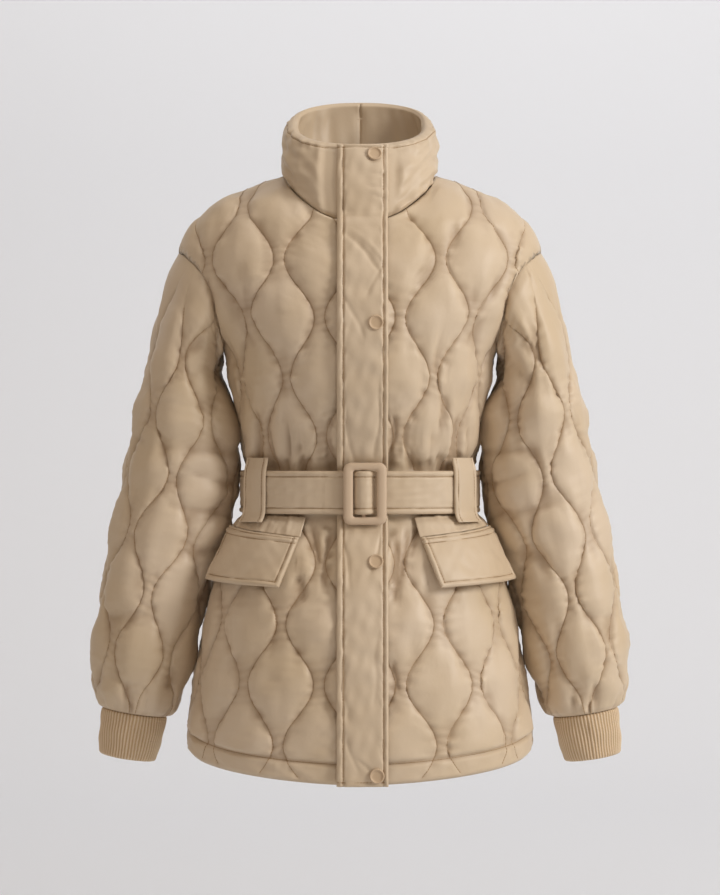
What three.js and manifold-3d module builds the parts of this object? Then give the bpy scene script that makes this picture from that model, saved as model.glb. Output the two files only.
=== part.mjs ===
// Quilted jacket with a belt and a funnel collar, filled out as if it were worn.
// Millimetres. X to the wearer's left, Y to the back, Z up. Left and right are the wearer's.
// The origin is the middle of the neck, at the height of the shoulder points.

import * as THREE from 'three';
import Module from 'manifold-3d';
import { mergeVertices } from 'three/addons/utils/BufferGeometryUtils.js';

// Driving dimensions

const WALL = 9.5;            // padded wall at the crown of a puff
const GROOVE = 3.5;          // wall at a quilting line and at a seam
const SEAM_SLOPE = 14;       // distance over which a puff flattens towards the armhole seam
const SEAM = 0.2;            // each piece stops this far from the seam line
const QUARTER = 264;         // cloth in a quarter of the body, centre to side
const LINES = 6;             // quilting lines in a quarter
const SPACING = QUARTER / LINES;
const UNDER_PLACKET = 2;     // puff left where the fronts meet under the placket
const WAVE = 16.2;           // swing of a quilting line to each side
const WAVE_LENGTH = 129;     // length of one wave along the body
const WAVE_START = -414;     // height of a narrow place of the odd columns
const UNDERARM = -180;
const SHOULDER_TIP = -80;
const NECK_SIDE = 6;
const HEM_FRONT = -648;
const HEM_SIDE = -620;
const HEM_BACK = -626;
const HEM_STITCH = 22;       // height of the hem's stitch line above the edge
const BELT_MIDDLE = -342;
const BELT_WIDTH = 46;
const BELT_THICK = 4;
const BELT_GAP = 1.2;        // belt's distance from the cloth under it
const PLACKET_LEFT = -24.4;
const PLACKET_RIGHT = 29.6;
const PLACKET_THICK = 3.2;
const PLACKET_OFF = 0.7;       // placket's distance from the fronts under it
const PLACKET_TOP = 31;
const COLLAR_WALL = 12;
const CUFF_RIBS = 60;
const SNAP_RADIUS = 8;
const SUPER = 2.3;           // exponent of the body's rounded section

// Body sections: height, half width, front depth, back depth, at the crowns of the puffs
const BODY = [
  [-650, 192.5, 150, 142], [-594, 191, 150, 143], [-550, 184.5, 148, 143], [-506, 177, 145, 142],
  [-462, 168.5, 138, 138], [-415, 156, 124, 127], [-388, 146, 109, 115], [-377, 139, 102.5, 106],
  [-366, 126.5, 96.5, 92], [-318, 126.5, 96.5, 92], [-309, 129, 101, 96], [-289, 133, 109, 102],
  [-264, 138, 118, 108], [-242, 141, 123, 112], [-220, 146, 127, 115], [-198, 149, 129, 117],
  [-180, 157, 130, 118], [-150, 178, 128, 117], [-125, 192, 124, 115], [-100, 199, 118, 111],
  [-80, 200, 111, 106], [-66, 196, 106, 103], [-50, 187, 99.5, 99], [-40, 177, 92, 96],
  [-31, 167, 84, 94], [-22, 154, 73, 91], [-13, 135, 58, 88], [-4, 114, 34, 83],
  [0, 104, 22, 80], [6, 84, 9, 73], [8, 82, 6, 70],
];
// Armhole seam: height, distance from the middle
const ARMHOLE = [
  [-180, 157], [-176, 154], [-167, 156], [-152, 159.5], [-132, 163], [-113, 170.5], [-97, 181.5],
  [-86, 193], [-80, 200],
];
// Front neck seam: distance from the middle, height
const NECK_FRONT = [[0, -51], [24.5, -50], [39.5, -44.5], [64, -26], [78, -9], [84, 6]];
// Sleeve sections: outer x, outer z, inner x, inner z, depth radius, steps to the next section
const SLEEVE = [
  [200.5, -80, 157.5, -180, 70, 1], [214, -108, 155.5, -189, 72, 1],
  [226, -152, 152.5, -202, 74, 2],
  [238, -208, 148, -228, 74, 2], [248, -245, 142.5, -264, 72, 2], [256.5, -289, 140.5, -312, 68, 2],
  [266.5, -342, 148.5, -365, 66, 2], [278, -392, 160.5, -415, 66, 2], [285.5, -436, 170.5, -459, 66, 2],
  [291, -476, 179, -499, 65, 2], [297, -520, 186, -541, 62, 2], [298, -550, 192.5, -565, 55, 1],
  [294.7, -563.6, 197, -579.8, 50, 1], [291.5, -573, 202.4, -587.2, 45.5, 1],
  [284.5, -577.6, 211, -589.4, 37.5, 0],
];
const SLEEVE_LINES = 10;
const SLEEVE_WAVE = 0.36;     // swing of a sleeve's quilting line, as a part of the spacing
const SLEEVE_WAVE_START = 66; // distance along the sleeve of the front column's first narrow place
const SLEEVE_WAVE_LENGTH = 130;
const GATHERS_FROM = -545;
const GATHER_DEPTH = 2.2;
// Cuff axis: x, z and radius at the top and at the bottom
const CUFF_TOP = [247.9, -584.2, 36.3];
const CUFF_BOTTOM = [256, -633.6, 31.4];
const CUFF_WALL = 3.4;
const CUFF_BULGE = 1.2;
const RIB_DEPTH = 0.9;

// Tables read as smooth curves that never overshoot

function smoothColumn(rows, column) {
  const at = rows.map(row => row[0]);
  const value = rows.map(row => row[column]);
  const slope = at.map((_, i) => {
    if (i === 0 || i === at.length - 1) return 0;
    const before = (value[i] - value[i - 1]) / (at[i] - at[i - 1]);
    const after = (value[i + 1] - value[i]) / (at[i + 1] - at[i]);
    return before * after <= 0 ? 0 : 2 * before * after / (before + after);
  });
  return x => {
    const clamped = Math.min(Math.max(x, at[0]), at[at.length - 1]);
    let i = 0;
    while (i < at.length - 2 && clamped > at[i + 1]) i += 1;
    const width = at[i + 1] - at[i];
    const t = (clamped - at[i]) / width;
    const a = value[i] * (1 + 2 * t) * (1 - t) ** 2 + slope[i] * width * t * (1 - t) ** 2;
    return a + value[i + 1] * t * t * (3 - 2 * t) + slope[i + 1] * width * t * t * (t - 1);
  };
}

const halfWidth = smoothColumn(BODY, 1);
const depth = { front: smoothColumn(BODY, 2), back: smoothColumn(BODY, 3) };
const armholeX = smoothColumn(ARMHOLE, 1);
const neckHeight = smoothColumn(NECK_FRONT, 1);

function ease(t) {
  const c = Math.min(Math.max(t, 0), 1);
  return c * c * (3 - 2 * c);
}

function mix(a, b, t) {
  return a + (b - a) * t;
}

// A quarter of the body's section at one height, measured along its length from the centre

const sections = new Map();

function quarter(side, z) {
  const key = side + z.toFixed(4);
  if (!sections.has(key)) {
    const a = halfWidth(z);
    const b = depth[side](z);
    const steps = 60;
    const x = [];
    const y = [];
    const run = [0];
    for (let i = 0; i <= steps; i += 1) {
      const angle = i / steps * Math.PI / 2;
      x.push(a * Math.sin(angle) ** (2 / SUPER));
      y.push(i === steps ? 0 : b * Math.cos(angle) ** (2 / SUPER));
      if (i > 0) run.push(run[i - 1] + Math.hypot(x[i] - x[i - 1], y[i] - y[i - 1]));
    }
    sections.set(key, { x, y, run, length: run[steps] });
  }
  return sections.get(key);
}

function interpolate(from, to, value) {
  let i = 0;
  while (i < from.length - 2 && value > from[i + 1]) i += 1;
  const t = (value - from[i]) / (from[i + 1] - from[i]);
  return mix(to[i], to[i + 1], Math.min(Math.max(t, 0), 1));
}

// Point of the crown surface: u runs from the centre, 0, to the side, 1
function crown(side, u, z) {
  const section = quarter(side, z);
  const s = u * section.length;
  const y = interpolate(section.run, section.y, s);
  return new THREE.Vector3(interpolate(section.run, section.x, s), side === 'front' ? -y : y, z);
}

function outward(side, u, z) {
  const du = 0.02;
  const dz = 1.5;
  const across = crown(side, Math.min(u + du, 1), z).sub(crown(side, Math.max(u - du, 0), z));
  if (u + du > 1) across.set(0, side === 'front' ? 1 : -1, 0);
  if (u - du < 0) across.set(1, 0, 0);
  const up = crown(side, u, z + dz).sub(crown(side, u, z - dz));
  const normal = new THREE.Vector3().crossVectors(across, up).normalize();
  return side === 'front' ? normal : normal.negate();
}

// Length along the section up to the armhole, or to the side seam below it
function reach(side, z) {
  const section = quarter(side, z);
  if (z <= UNDERARM || z >= SHOULDER_TIP) return section.length;
  const x = Math.min(armholeX(z), halfWidth(z));
  return interpolate(section.x, section.run, x);
}

// Where the cloth at distance f from the centre lies along the section at height z
function placeAcross(side, f, z) {
  const length = quarter(side, z).length;
  const gathered = 1 - ease((z - UNDERARM) / 70);
  return f - gathered * (QUARTER - length) * (f / QUARTER) ** 2;
}

// Quilting: cloth position of line j at height z, and the puff between two lines

function quiltLine(j, z) {
  const swing = Math.cos(2 * Math.PI * (z - WAVE_START) / WAVE_LENGTH);
  return (j + 0.5) * SPACING + (j % 2 === 0 ? 1 : -1) * WAVE * swing;
}

function puff(gap, widest, t) {
  const fullness = Math.min(gap / widest, 1) ** 0.8;
  return (WALL - GROOVE) * fullness * (4 * t * (1 - t)) ** 0.6;
}

// Closed solids from an outer and an inner grid of points

class Solid {
  constructor() {
    this.points = [];
    this.triangles = [];
    this.known = new Map();
  }

  add(p) {
    const key = [p.x, p.y, p.z].map(c => Math.round(c * 500)).join();
    if (!this.known.has(key)) {
      this.known.set(key, this.points.length);
      this.points.push(p);
    }
    return this.known.get(key);
  }

  triangle(a, b, c, flip) {
    if (a === b || b === c || a === c) return;
    this.triangles.push(flip ? [a, c, b] : [a, b, c]);
  }

  grid(rows, flip) {
    for (let r = 0; r < rows.length - 1; r += 1) {
      for (let c = 0; c < rows[r].length - 1; c += 1) {
        const [a, b, d, e] = [rows[r][c], rows[r][c + 1], rows[r + 1][c + 1], rows[r + 1][c]];
        this.triangle(a, b, d, flip);
        this.triangle(a, d, e, flip);
      }
    }
  }

  // Joins two edges, each a list of { id, at }, that run the same way
  zip(outer, inner, flip) {
    let i = 0;
    let j = 0;
    while (i < outer.length - 1 || j < inner.length - 1) {
      const endInner = j === inner.length - 1;
      if (endInner || (i < outer.length - 1 && outer[i + 1].at <= inner[j + 1].at)) {
        this.triangle(outer[i + 1].id, outer[i].id, inner[j].id, flip);
        i += 1;
      } else {
        this.triangle(outer[i].id, inner[j].id, inner[j + 1].id, flip);
        j += 1;
      }
    }
  }

  geometry() {
    const positions = [];
    for (const triangle of this.triangles) {
      for (const id of triangle) positions.push(...this.points[id].toArray());
    }
    const geometry = new THREE.BufferGeometry();
    geometry.setAttribute('position', new THREE.Float32BufferAttribute(positions, 3));
    geometry.computeVertexNormals();
    return geometry;
  }
}

// A grid is { rows: points, across: a value for each point, along: a value for each row }
function rim(ids, grid) {
  const last = grid.rows.length - 1;
  const end = grid.rows[0].length - 1;
  const list = [];
  for (let c = 0; c <= end; c += 1) list.push({ id: ids[0][c], at: grid.across[0][c] });
  for (let r = 1; r <= last; r += 1) list.push({ id: ids[r][end], at: 1 + grid.along[r] });
  for (let c = end - 1; c >= 0; c -= 1) list.push({ id: ids[last][c], at: 3 - grid.across[last][c] });
  for (let r = last - 1; r >= 0; r -= 1) list.push({ id: ids[r][0], at: 4 - grid.along[r] });
  return list;
}

function sheetSolid(outer, inner, flip = false) {
  const solid = new Solid();
  const outerIds = outer.rows.map(row => row.map(p => solid.add(p)));
  const innerIds = inner.rows.map(row => row.map(p => solid.add(p)));
  solid.grid(outerIds, flip);
  solid.grid(innerIds, !flip);
  solid.zip(rim(outerIds, outer), rim(innerIds, inner), flip);
  return solid.geometry();
}

// A tube's rows go all the way round; the first point isn't repeated
function tubeSolid(outer, inner, flip = false) {
  const solid = new Solid();
  const ring = row => [...row, row[0]];
  const outerIds = outer.rows.map(row => ring(row.map(p => solid.add(p))));
  const innerIds = inner.rows.map(row => ring(row.map(p => solid.add(p))));
  solid.grid(outerIds, flip);
  solid.grid(innerIds, !flip);
  const edge = (ids, grid, r) => {
    const turns = [...grid.across[r], 1 + grid.across[r][0]];
    return ids[r].map((id, c) => ({ id, at: turns[c] }));
  };
  solid.zip(edge(outerIds, outer, 0), edge(innerIds, inner, 0), flip);
  const last = [outer.rows.length - 1, inner.rows.length - 1];
  solid.zip(edge(outerIds, outer, last[0]), edge(innerIds, inner, last[1]), !flip);
  return solid.geometry();
}

function mirrored(geometry) {
  const copy = geometry.clone();
  const position = copy.attributes.position;
  for (let i = 0; i < position.count; i += 3) {
    const corners = [0, 2, 1].map(k => [-position.getX(i + k), position.getY(i + k), position.getZ(i + k)]);
    corners.forEach((corner, k) => position.setXYZ(i + k, ...corner));
  }
  copy.computeVertexNormals();
  return copy;
}

const wasm = await Module();
wasm.setup();

const jacket = new THREE.Group();
const shell = new THREE.MeshStandardMaterial({ color: '#c2ad8f', roughness: 0.62, metalness: 0 });
const plain = new THREE.MeshStandardMaterial({ color: '#c4ae90', roughness: 0.6, metalness: 0 });
const rib = new THREE.MeshStandardMaterial({ color: '#b89f7d', roughness: 0.9, metalness: 0 });

function addPiece(name, geometry, material) {
  const mesh = new THREE.Mesh(geometry, material);
  mesh.name = name;
  jacket.add(mesh);
}

// Fronts and back

const NECK_CLOTH = { front: 88, back: quarter('back', NECK_SIDE).length };
const ROWS_BELOW = 25;
const ROWS_ABOVE = 7;
// Rows that stand at a set height: row, height. The belt lies between the third and the fourth.
const SET_ROWS = [[14, -377], [15, -366.5], [18, -317.5], [19, -308], [ROWS_BELOW, UNDERARM]];

function hemHeight(side, f) {
  const middle = side === 'front' ? HEM_FRONT : HEM_BACK;
  return mix(middle, HEM_SIDE, (f / QUARTER) ** 1.6);
}

// Top of the cloth at distance f: the neck seam, then the shoulder seam, then the shoulder tip
function topPoint(side, f) {
  const neck = NECK_CLOTH[side];
  if (f <= neck && side === 'back') return { u: f / neck, z: 8 - 2 * f / neck };
  if (f <= neck) {
    const x = NECK_FRONT[NECK_FRONT.length - 1][0] * f / neck;
    const z = neckHeight(x);
    const section = quarter(side, z);
    return { u: interpolate(section.x, section.run, x) / section.length, z };
  }
  let low = SHOULDER_TIP;
  let high = NECK_SIDE;
  for (let i = 0; i < 24; i += 1) {
    const middle = (low + high) / 2;
    if (quarter(side, middle).length > f) low = middle;
    else high = middle;
  }
  return { u: 1, z: (low + high) / 2 };
}

function rowHeights(side, f, rows) {
  const hem = hemHeight(side, f);
  const top = topPoint(side, f).z;
  return rows.map(row => {
    const fixed = [[0, hem], [1, hem + 9], [2, hem + HEM_STITCH], [3, hem + 31], ...SET_ROWS];
    fixed.push([ROWS_BELOW + ROWS_ABOVE, top]);
    const next = fixed.findIndex(([at]) => at >= row);
    if (next <= 0) return hem;
    const [from, to] = [fixed[next - 1], fixed[next]];
    return mix(from[1], to[1], (row - from[0]) / (to[0] - from[0]));
  });
}

// Columns of the outer grid stand on the quilting lines, with two more between each pair
function quiltedColumns() {
  const columns = [{ j: -1, t: 0 }, { j: -1, t: 0.5 }];
  for (let j = 0; j < LINES - 1; j += 1) {
    for (const t of [0, 0.34, 0.66]) columns.push({ j, t });
  }
  columns.push({ j: LINES - 1, t: 0 }, { j: LINES - 1, t: 0.5 }, { j: LINES, t: 0 });
  return columns;
}

function columnCloth(column, z) {
  const from = column.j < 0 ? 0 : column.j < LINES ? quiltLine(column.j, z) : QUARTER;
  const to = column.j < LINES - 1 ? quiltLine(column.j + 1, z) : QUARTER;
  return { f: mix(from, to, column.t), gap: to - from };
}

function columnPuff(column, gap) {
  const widest = SPACING + 2 * WAVE;
  if (column.j < 0) return puff(2 * gap, widest, 0.5 + column.t / 2);
  if (column.j >= LINES) return puff(gap, widest, 0.5);
  if (column.j === LINES - 1) return puff(2 * gap, widest, column.t / 2);
  return puff(gap, widest, column.t);
}

function bodyPoint(side, { f, z, cut }, thick, u) {
  const length = quarter(side, z).length;
  const limit = reach(side, z) - SEAM;
  let s = u === undefined ? placeAcross(side, f, z) : u * length;
  if (cut || s > limit || f >= QUARTER) s = limit;
  if (f === 0) s = side === 'front' ? 0.3 : 0;
  const at = s / length;
  return crown(side, at, z).addScaledVector(outward(side, at, z), thick - WALL);
}

const INNER_ROWS = [0, 3, 8, 14, 15, 18, 19, 22];
const MIN_CELL = 5;          // a column nearer the armhole seam than this ends on it

// Columns that run out at the armhole end on the seam, level with the side column
function cutAtArmhole(side, places, above) {
  const seam = places[places.length - 1];
  let cut = false;
  for (const place of places) {
    const low = above && place.z < SHOULDER_TIP;
    cut = cut || (low && reach(side, place.z) - placeAcross(side, place.f, place.z) < MIN_CELL);
    if (cut) place.z = seam.z;
    place.cut = cut;
  }
}

function halfPanel(side, fine) {
  const columns = fine ? quiltedColumns() : [0, 1, 2, 3, 4, 5, 6].map(k => ({ fixed: k * SPACING }));
  const total = ROWS_BELOW + ROWS_ABOVE;
  const rows = [];
  for (let r = 0; r <= total; r += 1) {
    if (fine || r >= ROWS_BELOW || INNER_ROWS.includes(r)) rows.push(r);
  }
  const grid = { rows: [], across: [], along: rows.map(r => r / total) };
  const settle = (column, row) => {
    let z = -300;
    let cloth = { f: column.fixed, gap: 0 };
    for (let i = 0; i < 6; i += 1) {
      if (column.fixed === undefined) cloth = columnCloth(column, z);
      z = rowHeights(side, cloth.f, [row])[0];
    }
    return { ...cloth, z };
  };
  for (const row of rows) {
    const places = columns.map(column => settle(column, row));
    if (row === total) {
      const off = places.map(place => Math.abs(place.f - NECK_CLOTH[side]));
      const nearest = places[off.indexOf(Math.min(...off))];
      nearest.f = NECK_CLOTH[side];
      nearest.z = NECK_SIDE;
    }
    cutAtArmhole(side, places, row > ROWS_BELOW && row < total);
    grid.across.push(places.map(place => place.f / QUARTER));
    grid.rows.push(places.map((place, c) => {
      let thick = 0;
      if (fine) {
        const seam = row === 0 || row === total || row === 2 || c === columns.length - 1;
        const above = Math.hypot(place.z - SHOULDER_TIP, reach(side, place.z) - place.f);
        let edge = 1;
        if (place.z > UNDERARM) edge = ease((reach(side, place.z) - place.f) / SEAM_SLOPE);
        if (place.z >= SHOULDER_TIP) edge = ease(above / (3 * SEAM_SLOPE));
        thick = seam || place.cut ? GROOVE : GROOVE + columnPuff(columns[c], place.gap) * edge;
        if (side === 'front' && c < 1) thick = GROOVE + UNDER_PLACKET;
      }
      const u = row === total ? Math.min(topPoint(side, place.f).u, 1) : undefined;
      return bodyPoint(side, place, thick, u);
    }));
  }
  return grid;
}

function mirrorGrid(grid) {
  return {
    rows: grid.rows.map(row => row.map(p => new THREE.Vector3(-p.x, p.y, p.z)).reverse()),
    across: grid.across.map(row => row.map(value => 1 - value).reverse()),
    along: grid.along,
  };
}

function wholePanel(half) {
  const other = mirrorGrid(half);
  const joined = (row, r) => {
    const first = other.across[r].slice(0, -1).map(value => value / 2);
    return [...first, ...row.map(value => 0.5 + value / 2)];
  };
  return {
    rows: half.rows.map((row, r) => [...other.rows[r].slice(0, -1), ...row]),
    across: half.across.map(joined),
    along: half.along,
  };
}

const frontOuter = halfPanel('front', true);
const frontInner = halfPanel('front', false);
const backOuter = halfPanel('back', true);
const backInner = halfPanel('back', false);
const frontGeometry = sheetSolid(frontOuter, frontInner);
addPiece('front_left', frontGeometry, shell);
addPiece('front_right', mirrored(frontGeometry), shell);
addPiece('back', sheetSolid(wholePanel(backOuter), wholePanel(backInner), true), shell);

// Sleeves

function armholeRing(frontGrid, backGrid) {
  const edge = grid => grid.rows.map(row => row[row.length - 1]).filter(p => p.z > UNDERARM - 1);
  const front = edge(frontGrid);
  const back = edge(backGrid).reverse();
  const top = front[front.length - 1].clone().lerp(back[0], 0.5);
  const bottom = front[0].clone().lerp(back[back.length - 1], 0.5);
  return [bottom, ...front.slice(1, -1), top, ...back.slice(1, -1)];
}

const sleeveColumns = [];
for (let j = 0; j < SLEEVE_LINES; j += 1) {
  for (const t of [0, 0.34, 0.66]) sleeveColumns.push({ j, t });
}

const sleeveTable = SLEEVE.map((row, i) => [i, ...row]);
const sleeveCurve = [1, 2, 3, 4, 5].map(column => smoothColumn(sleeveTable, column));

function sleeveSection(i) {
  const [xo, zo, xi, zi, ry] = sleeveCurve.map(curve => curve(i));
  const centre = new THREE.Vector3((xo + xi) / 2, 0, (zo + zi) / 2);
  const side = new THREE.Vector3(xo - xi, 0, zo - zi);
  return { centre, rx: side.length() / 2, ry, side: side.normalize() };
}

const sleeveRows = [];
SLEEVE.forEach((row, i) => {
  for (let k = 0; k < row[5]; k += 1) sleeveRows.push(i + k / row[5]);
});
sleeveRows.push(SLEEVE.length - 1);

function sleeveRun() {
  const run = [0];
  for (let k = 1; k < sleeveRows.length; k += 1) {
    const step = sleeveSection(sleeveRows[k]).centre.distanceTo(sleeveSection(sleeveRows[k - 1]).centre);
    run.push(run[k - 1] + step);
  }
  return run;
}

// Angle round the sleeve, from the front towards the outside, as a part of a turn
function sleeveLine(j, run) {
  const swing = Math.cos(2 * Math.PI * (run - SLEEVE_WAVE_START) / SLEEVE_WAVE_LENGTH);
  return (j + 0.5 - (j % 2 === 0 ? 1 : -1) * SLEEVE_WAVE * swing) / SLEEVE_LINES;
}

// Point of the armhole seam at a given turn about the first section
function ringTurns(ring, section) {
  return ring.map(p => {
    const out = p.clone().sub(section.centre).dot(section.side) / section.rx;
    const value = Math.atan2(out, -p.y / section.ry) / (2 * Math.PI);
    return value - Math.floor(value);
  });
}

function seamPoint(ring, turn, section) {
  const turns = ringTurns(ring, section);
  const order = ring.map((_, i) => i).sort((a, b) => turns[a] - turns[b]);
  const t = turn - Math.floor(turn);
  let k = order.findIndex(i => turns[i] > t);
  if (k < 0) k = 0;
  const next = order[k];
  const last = order[(k + order.length - 1) % order.length];
  const span = (turns[next] - turns[last] + 1) % 1;
  return ring[last].clone().lerp(ring[next], ((t - turns[last] + 1) % 1) / span);
}

// How far the sleeve's first row stands off the armhole seam, and the length of its set-in cap
const SLEEVE_AWAY = new THREE.Vector3(0.94, 0, -0.35).multiplyScalar(0.5);
const CAP_LENGTH = 75;
const GATHER_RUN = 25;

// The first row of the sleeve takes in every corner of the armhole
function meetCorners(turns, ring, section) {
  const met = [...turns];
  for (const corner of ringTurns(ring, section)) {
    const away = met.map(turn => Math.abs(((turn - corner + 1.5) % 1) - 0.5));
    const nearest = away.indexOf(Math.min(...away));
    met[nearest] = corner + Math.round(met[nearest] - corner);
  }
  return met;
}

function sleeveGrid(fine) {
  const ring = armholeRing(fine ? frontOuter : frontInner, fine ? backOuter : backInner);
  const run = sleeveRun();
  const first = sleeveSection(0);
  const grid = { rows: [], across: [], along: [] };
  sleeveRows.forEach((i, k) => {
    if (!fine && k % 3 !== 0 && k !== sleeveRows.length - 1) return;
    const section = sleeveSection(i);
    const end = k === sleeveRows.length - 1;
    const columns = fine ? sleeveColumns : sleeveColumns.filter((_, c) => c % 2 === 0);
    let turns = columns.map((column, c) => {
      if (!fine) return (c + 0.25) / columns.length;
      const from = sleeveLine(column.j, run[k]);
      const to = sleeveLine(column.j + 1, run[k]);
      return mix(from, to, column.t);
    });
    if (k === 0) turns = meetCorners(turns, ring, first);
    grid.across.push(turns);
    grid.rows.push(turns.map((turn, c) => {
      let thick = 0;
      if (fine) {
        const { j, t } = columns[c];
        const gap = (sleeveLine(j + 1, run[k]) - sleeveLine(j, run[k])) * SLEEVE_LINES;
        thick = GROOVE + puff(gap, 1 + 2 * SLEEVE_WAVE, t) * ease(run[k] / SEAM_SLOPE);
        const gathered = ease((GATHERS_FROM - section.centre.z) / GATHER_RUN);
        thick = mix(thick, GROOVE + 2.5 + (c % 2 === 0 ? -1 : 1) * GATHER_DEPTH, gathered * 0.8);
        if (end) thick = GROOVE + 2;
      }
      const angle = turn * 2 * Math.PI;
      const inward = thick - (end ? CUFF_WALL + 3 : WALL);
      const place = section.centre.clone();
      place.addScaledVector(section.side, Math.sin(angle) * (section.rx + inward));
      place.y -= Math.cos(angle) * (section.ry + inward);
      const start = (fine ? GROOVE : 0) - WALL;
      const base = first.centre.clone();
      base.addScaledVector(first.side, Math.sin(angle) * (first.rx + start));
      base.y -= Math.cos(angle) * (first.ry + start);
      const seam = seamPoint(ring, turn, first).add(SLEEVE_AWAY);
      const left = 1 - ease(run[k] / CAP_LENGTH);
      return place.addScaledVector(seam.sub(base), left);
    }));
    grid.along.push(k / (sleeveRows.length - 1));
  });
  return grid;
}

const sleeveGeometry = tubeSolid(sleeveGrid(true), sleeveGrid(false), true);
addPiece('sleeve_left', sleeveGeometry, shell);
addPiece('sleeve_right', mirrored(sleeveGeometry), shell);

// Cuffs, with ribs raised round the outside

function cuffGrid(fine) {
  const grid = { rows: [], across: [], along: [0, 0.5, 1] };
  const [top, bottom] = [CUFF_TOP, CUFF_BOTTOM];
  const axis = new THREE.Vector3(bottom[0] - top[0], 0, bottom[1] - top[1]).normalize();
  const side = new THREE.Vector3(-axis.z, 0, axis.x);
  const count = fine ? CUFF_RIBS * 2 : 24;
  for (const t of grid.along) {
    const centre = new THREE.Vector3(mix(top[0], bottom[0], t), 0, mix(top[1], bottom[1], t));
    const radius = mix(top[2], bottom[2], t) + CUFF_BULGE * Math.sin(Math.PI * t);
    const turns = Array.from({ length: count }, (_, c) => c / count);
    grid.across.push(turns);
    grid.rows.push(turns.map((turn, c) => {
      const r = fine ? radius - (c % 2) * RIB_DEPTH : radius - CUFF_WALL;
      const place = centre.clone().addScaledVector(side, Math.sin(turn * 2 * Math.PI) * r);
      place.y -= Math.cos(turn * 2 * Math.PI) * r;
      return place;
    }));
  }
  return grid;
}

const cuffGeometry = tubeSolid(cuffGrid(true), cuffGrid(false), true);
addPiece('cuff_left', cuffGeometry, rib);
addPiece('cuff_right', mirrored(cuffGeometry), rib);

// Collar: a padded wall round the neck that meets at the centre front

function neckSeam() {
  const topEdge = (grid, cloth) => {
    const last = grid.rows.length - 1;
    return grid.rows[last].filter((_, c) => grid.across[last][c] <= cloth / QUARTER + 1e-6);
  };
  const front = topEdge(frontOuter, NECK_CLOTH.front);
  const back = topEdge(backOuter, NECK_CLOTH.back);
  return [...front, ...back.reverse().slice(1)];
}

function alongLine(points, t) {
  const run = [0];
  points.forEach((p, i) => {
    if (i > 0) run.push(run[i - 1] + p.distanceTo(points[i - 1]));
  });
  const value = t * run[run.length - 1];
  let i = 0;
  while (i < points.length - 2 && value > run[i + 1]) i += 1;
  return points[i].clone().lerp(points[i + 1], (value - run[i]) / (run[i + 1] - run[i]));
}

const COLLAR_TOP = { half: 78.5, front: 77, back: 75, middle: 62.5, tilt: 0.404 };
const COLLAR_BULGE = 5;
const COLLAR_LIFT = 1.9;

// t from the centre front, 0, to the centre back, 1; w from the seam, 0, to the top, 1
function collarFace(t, w, inset) {
  const base = alongLine(neckSeam(), t);
  const angle = t * Math.PI;
  const y = -Math.cos(angle) * (t < 0.5 ? COLLAR_TOP.front : COLLAR_TOP.back);
  const x = Math.sin(angle) * COLLAR_TOP.half;
  const top = new THREE.Vector3(x, y, COLLAR_TOP.middle + COLLAR_TOP.tilt * y);
  const away = new THREE.Vector3(top.x, top.y, 0).normalize();
  const place = base.clone().lerp(top, w);
  place.addScaledVector(away, COLLAR_BULGE * Math.sin(Math.PI * Math.min(w, 1)) - inset);
  place.z += COLLAR_LIFT;
  return place;
}

// The collar's columns stand on the neck seam's own corners, with more between them
function collarTurns() {
  const seam = neckSeam();
  const run = [0];
  seam.forEach((p, i) => {
    if (i > 0) run.push(run[i - 1] + p.distanceTo(seam[i - 1]));
  });
  const turns = [0];
  for (let i = 1; i < run.length; i += 1) {
    if (run[i] - run[i - 1] > 14) turns.push((run[i] + run[i - 1]) / 2);
    if (run[i] - run[i - 1] > 1) turns.push(run[i]);
  }
  return turns.map(value => value / run[run.length - 1]);
}

function collarGrid(fine) {
  const rows = fine
    ? [[0, 0], [0.12, 0], [0.35, 0], [0.6, 0], [0.82, 0], [0.94, 1.2], [1, 5]]
    : [[0, 8.5], [0.3, COLLAR_WALL], [0.65, COLLAR_WALL + 1], [0.92, COLLAR_WALL + 0.5], [0.99, 8.5]];
  const turns = collarTurns();
  const half = turns.length - 1;
  const grid = { rows: [], across: [], along: rows.map(row => row[0]) };
  for (const [w, inset] of rows) {
    const points = [];
    const across = [];
    for (let k = -half; k <= half; k += 1) {
      const t = turns[half - Math.abs(k)];
      const p = collarFace(t, w, inset);
      const x = Math.max(p.x, t === 0 ? 0.3 : 0);
      points.push(new THREE.Vector3(k < 0 ? -x : x, p.y, p.z));
      across.push((k + half) / (2 * half));
    }
    grid.rows.push(points);
    grid.across.push(across);
  }
  return grid;
}

addPiece('collar', sheetSolid(collarGrid(true), collarGrid(false), true), plain);

// Placket over the centre front, from the hem to the top of the collar

const collarFrontTop = collarFace(0, 0.94, 1.2);

function frontSurface(x, z) {
  const onCollar = ease((z + 58) / 16);
  const rise = Math.min(Math.max((z + 50) / (collarFrontTop.z + 50), 0), 1);
  const collarY = mix(96.8, COLLAR_TOP.front + 1, rise) + COLLAR_BULGE * Math.sin(Math.PI * rise);
  const y = mix(depth.front(Math.min(z, -50)), collarY, onCollar);
  const half = mix(halfWidth(Math.min(z, -50)), 84, onCollar);
  return -y * (1 - (Math.abs(x) / half) ** SUPER) ** (1 / SUPER);
}

function frontPoint(x, z, off) {
  const step = 2;
  const dx = new THREE.Vector3(step, frontSurface(x + step / 2, z) - frontSurface(x - step / 2, z), 0);
  const dz = new THREE.Vector3(0, frontSurface(x, z + step) - frontSurface(x, z - step), 2 * step);
  const normal = dx.cross(dz).normalize();
  return new THREE.Vector3(x, frontSurface(x, z), z).addScaledVector(normal, off);
}

const PLACKET_STITCH_RIGHT = 7; // stitch line's distance from the placket's edge, wearer's right
const STITCH_DEPTH = 0.9;
const PLACKET_STITCH_LEFT = 5;

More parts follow.
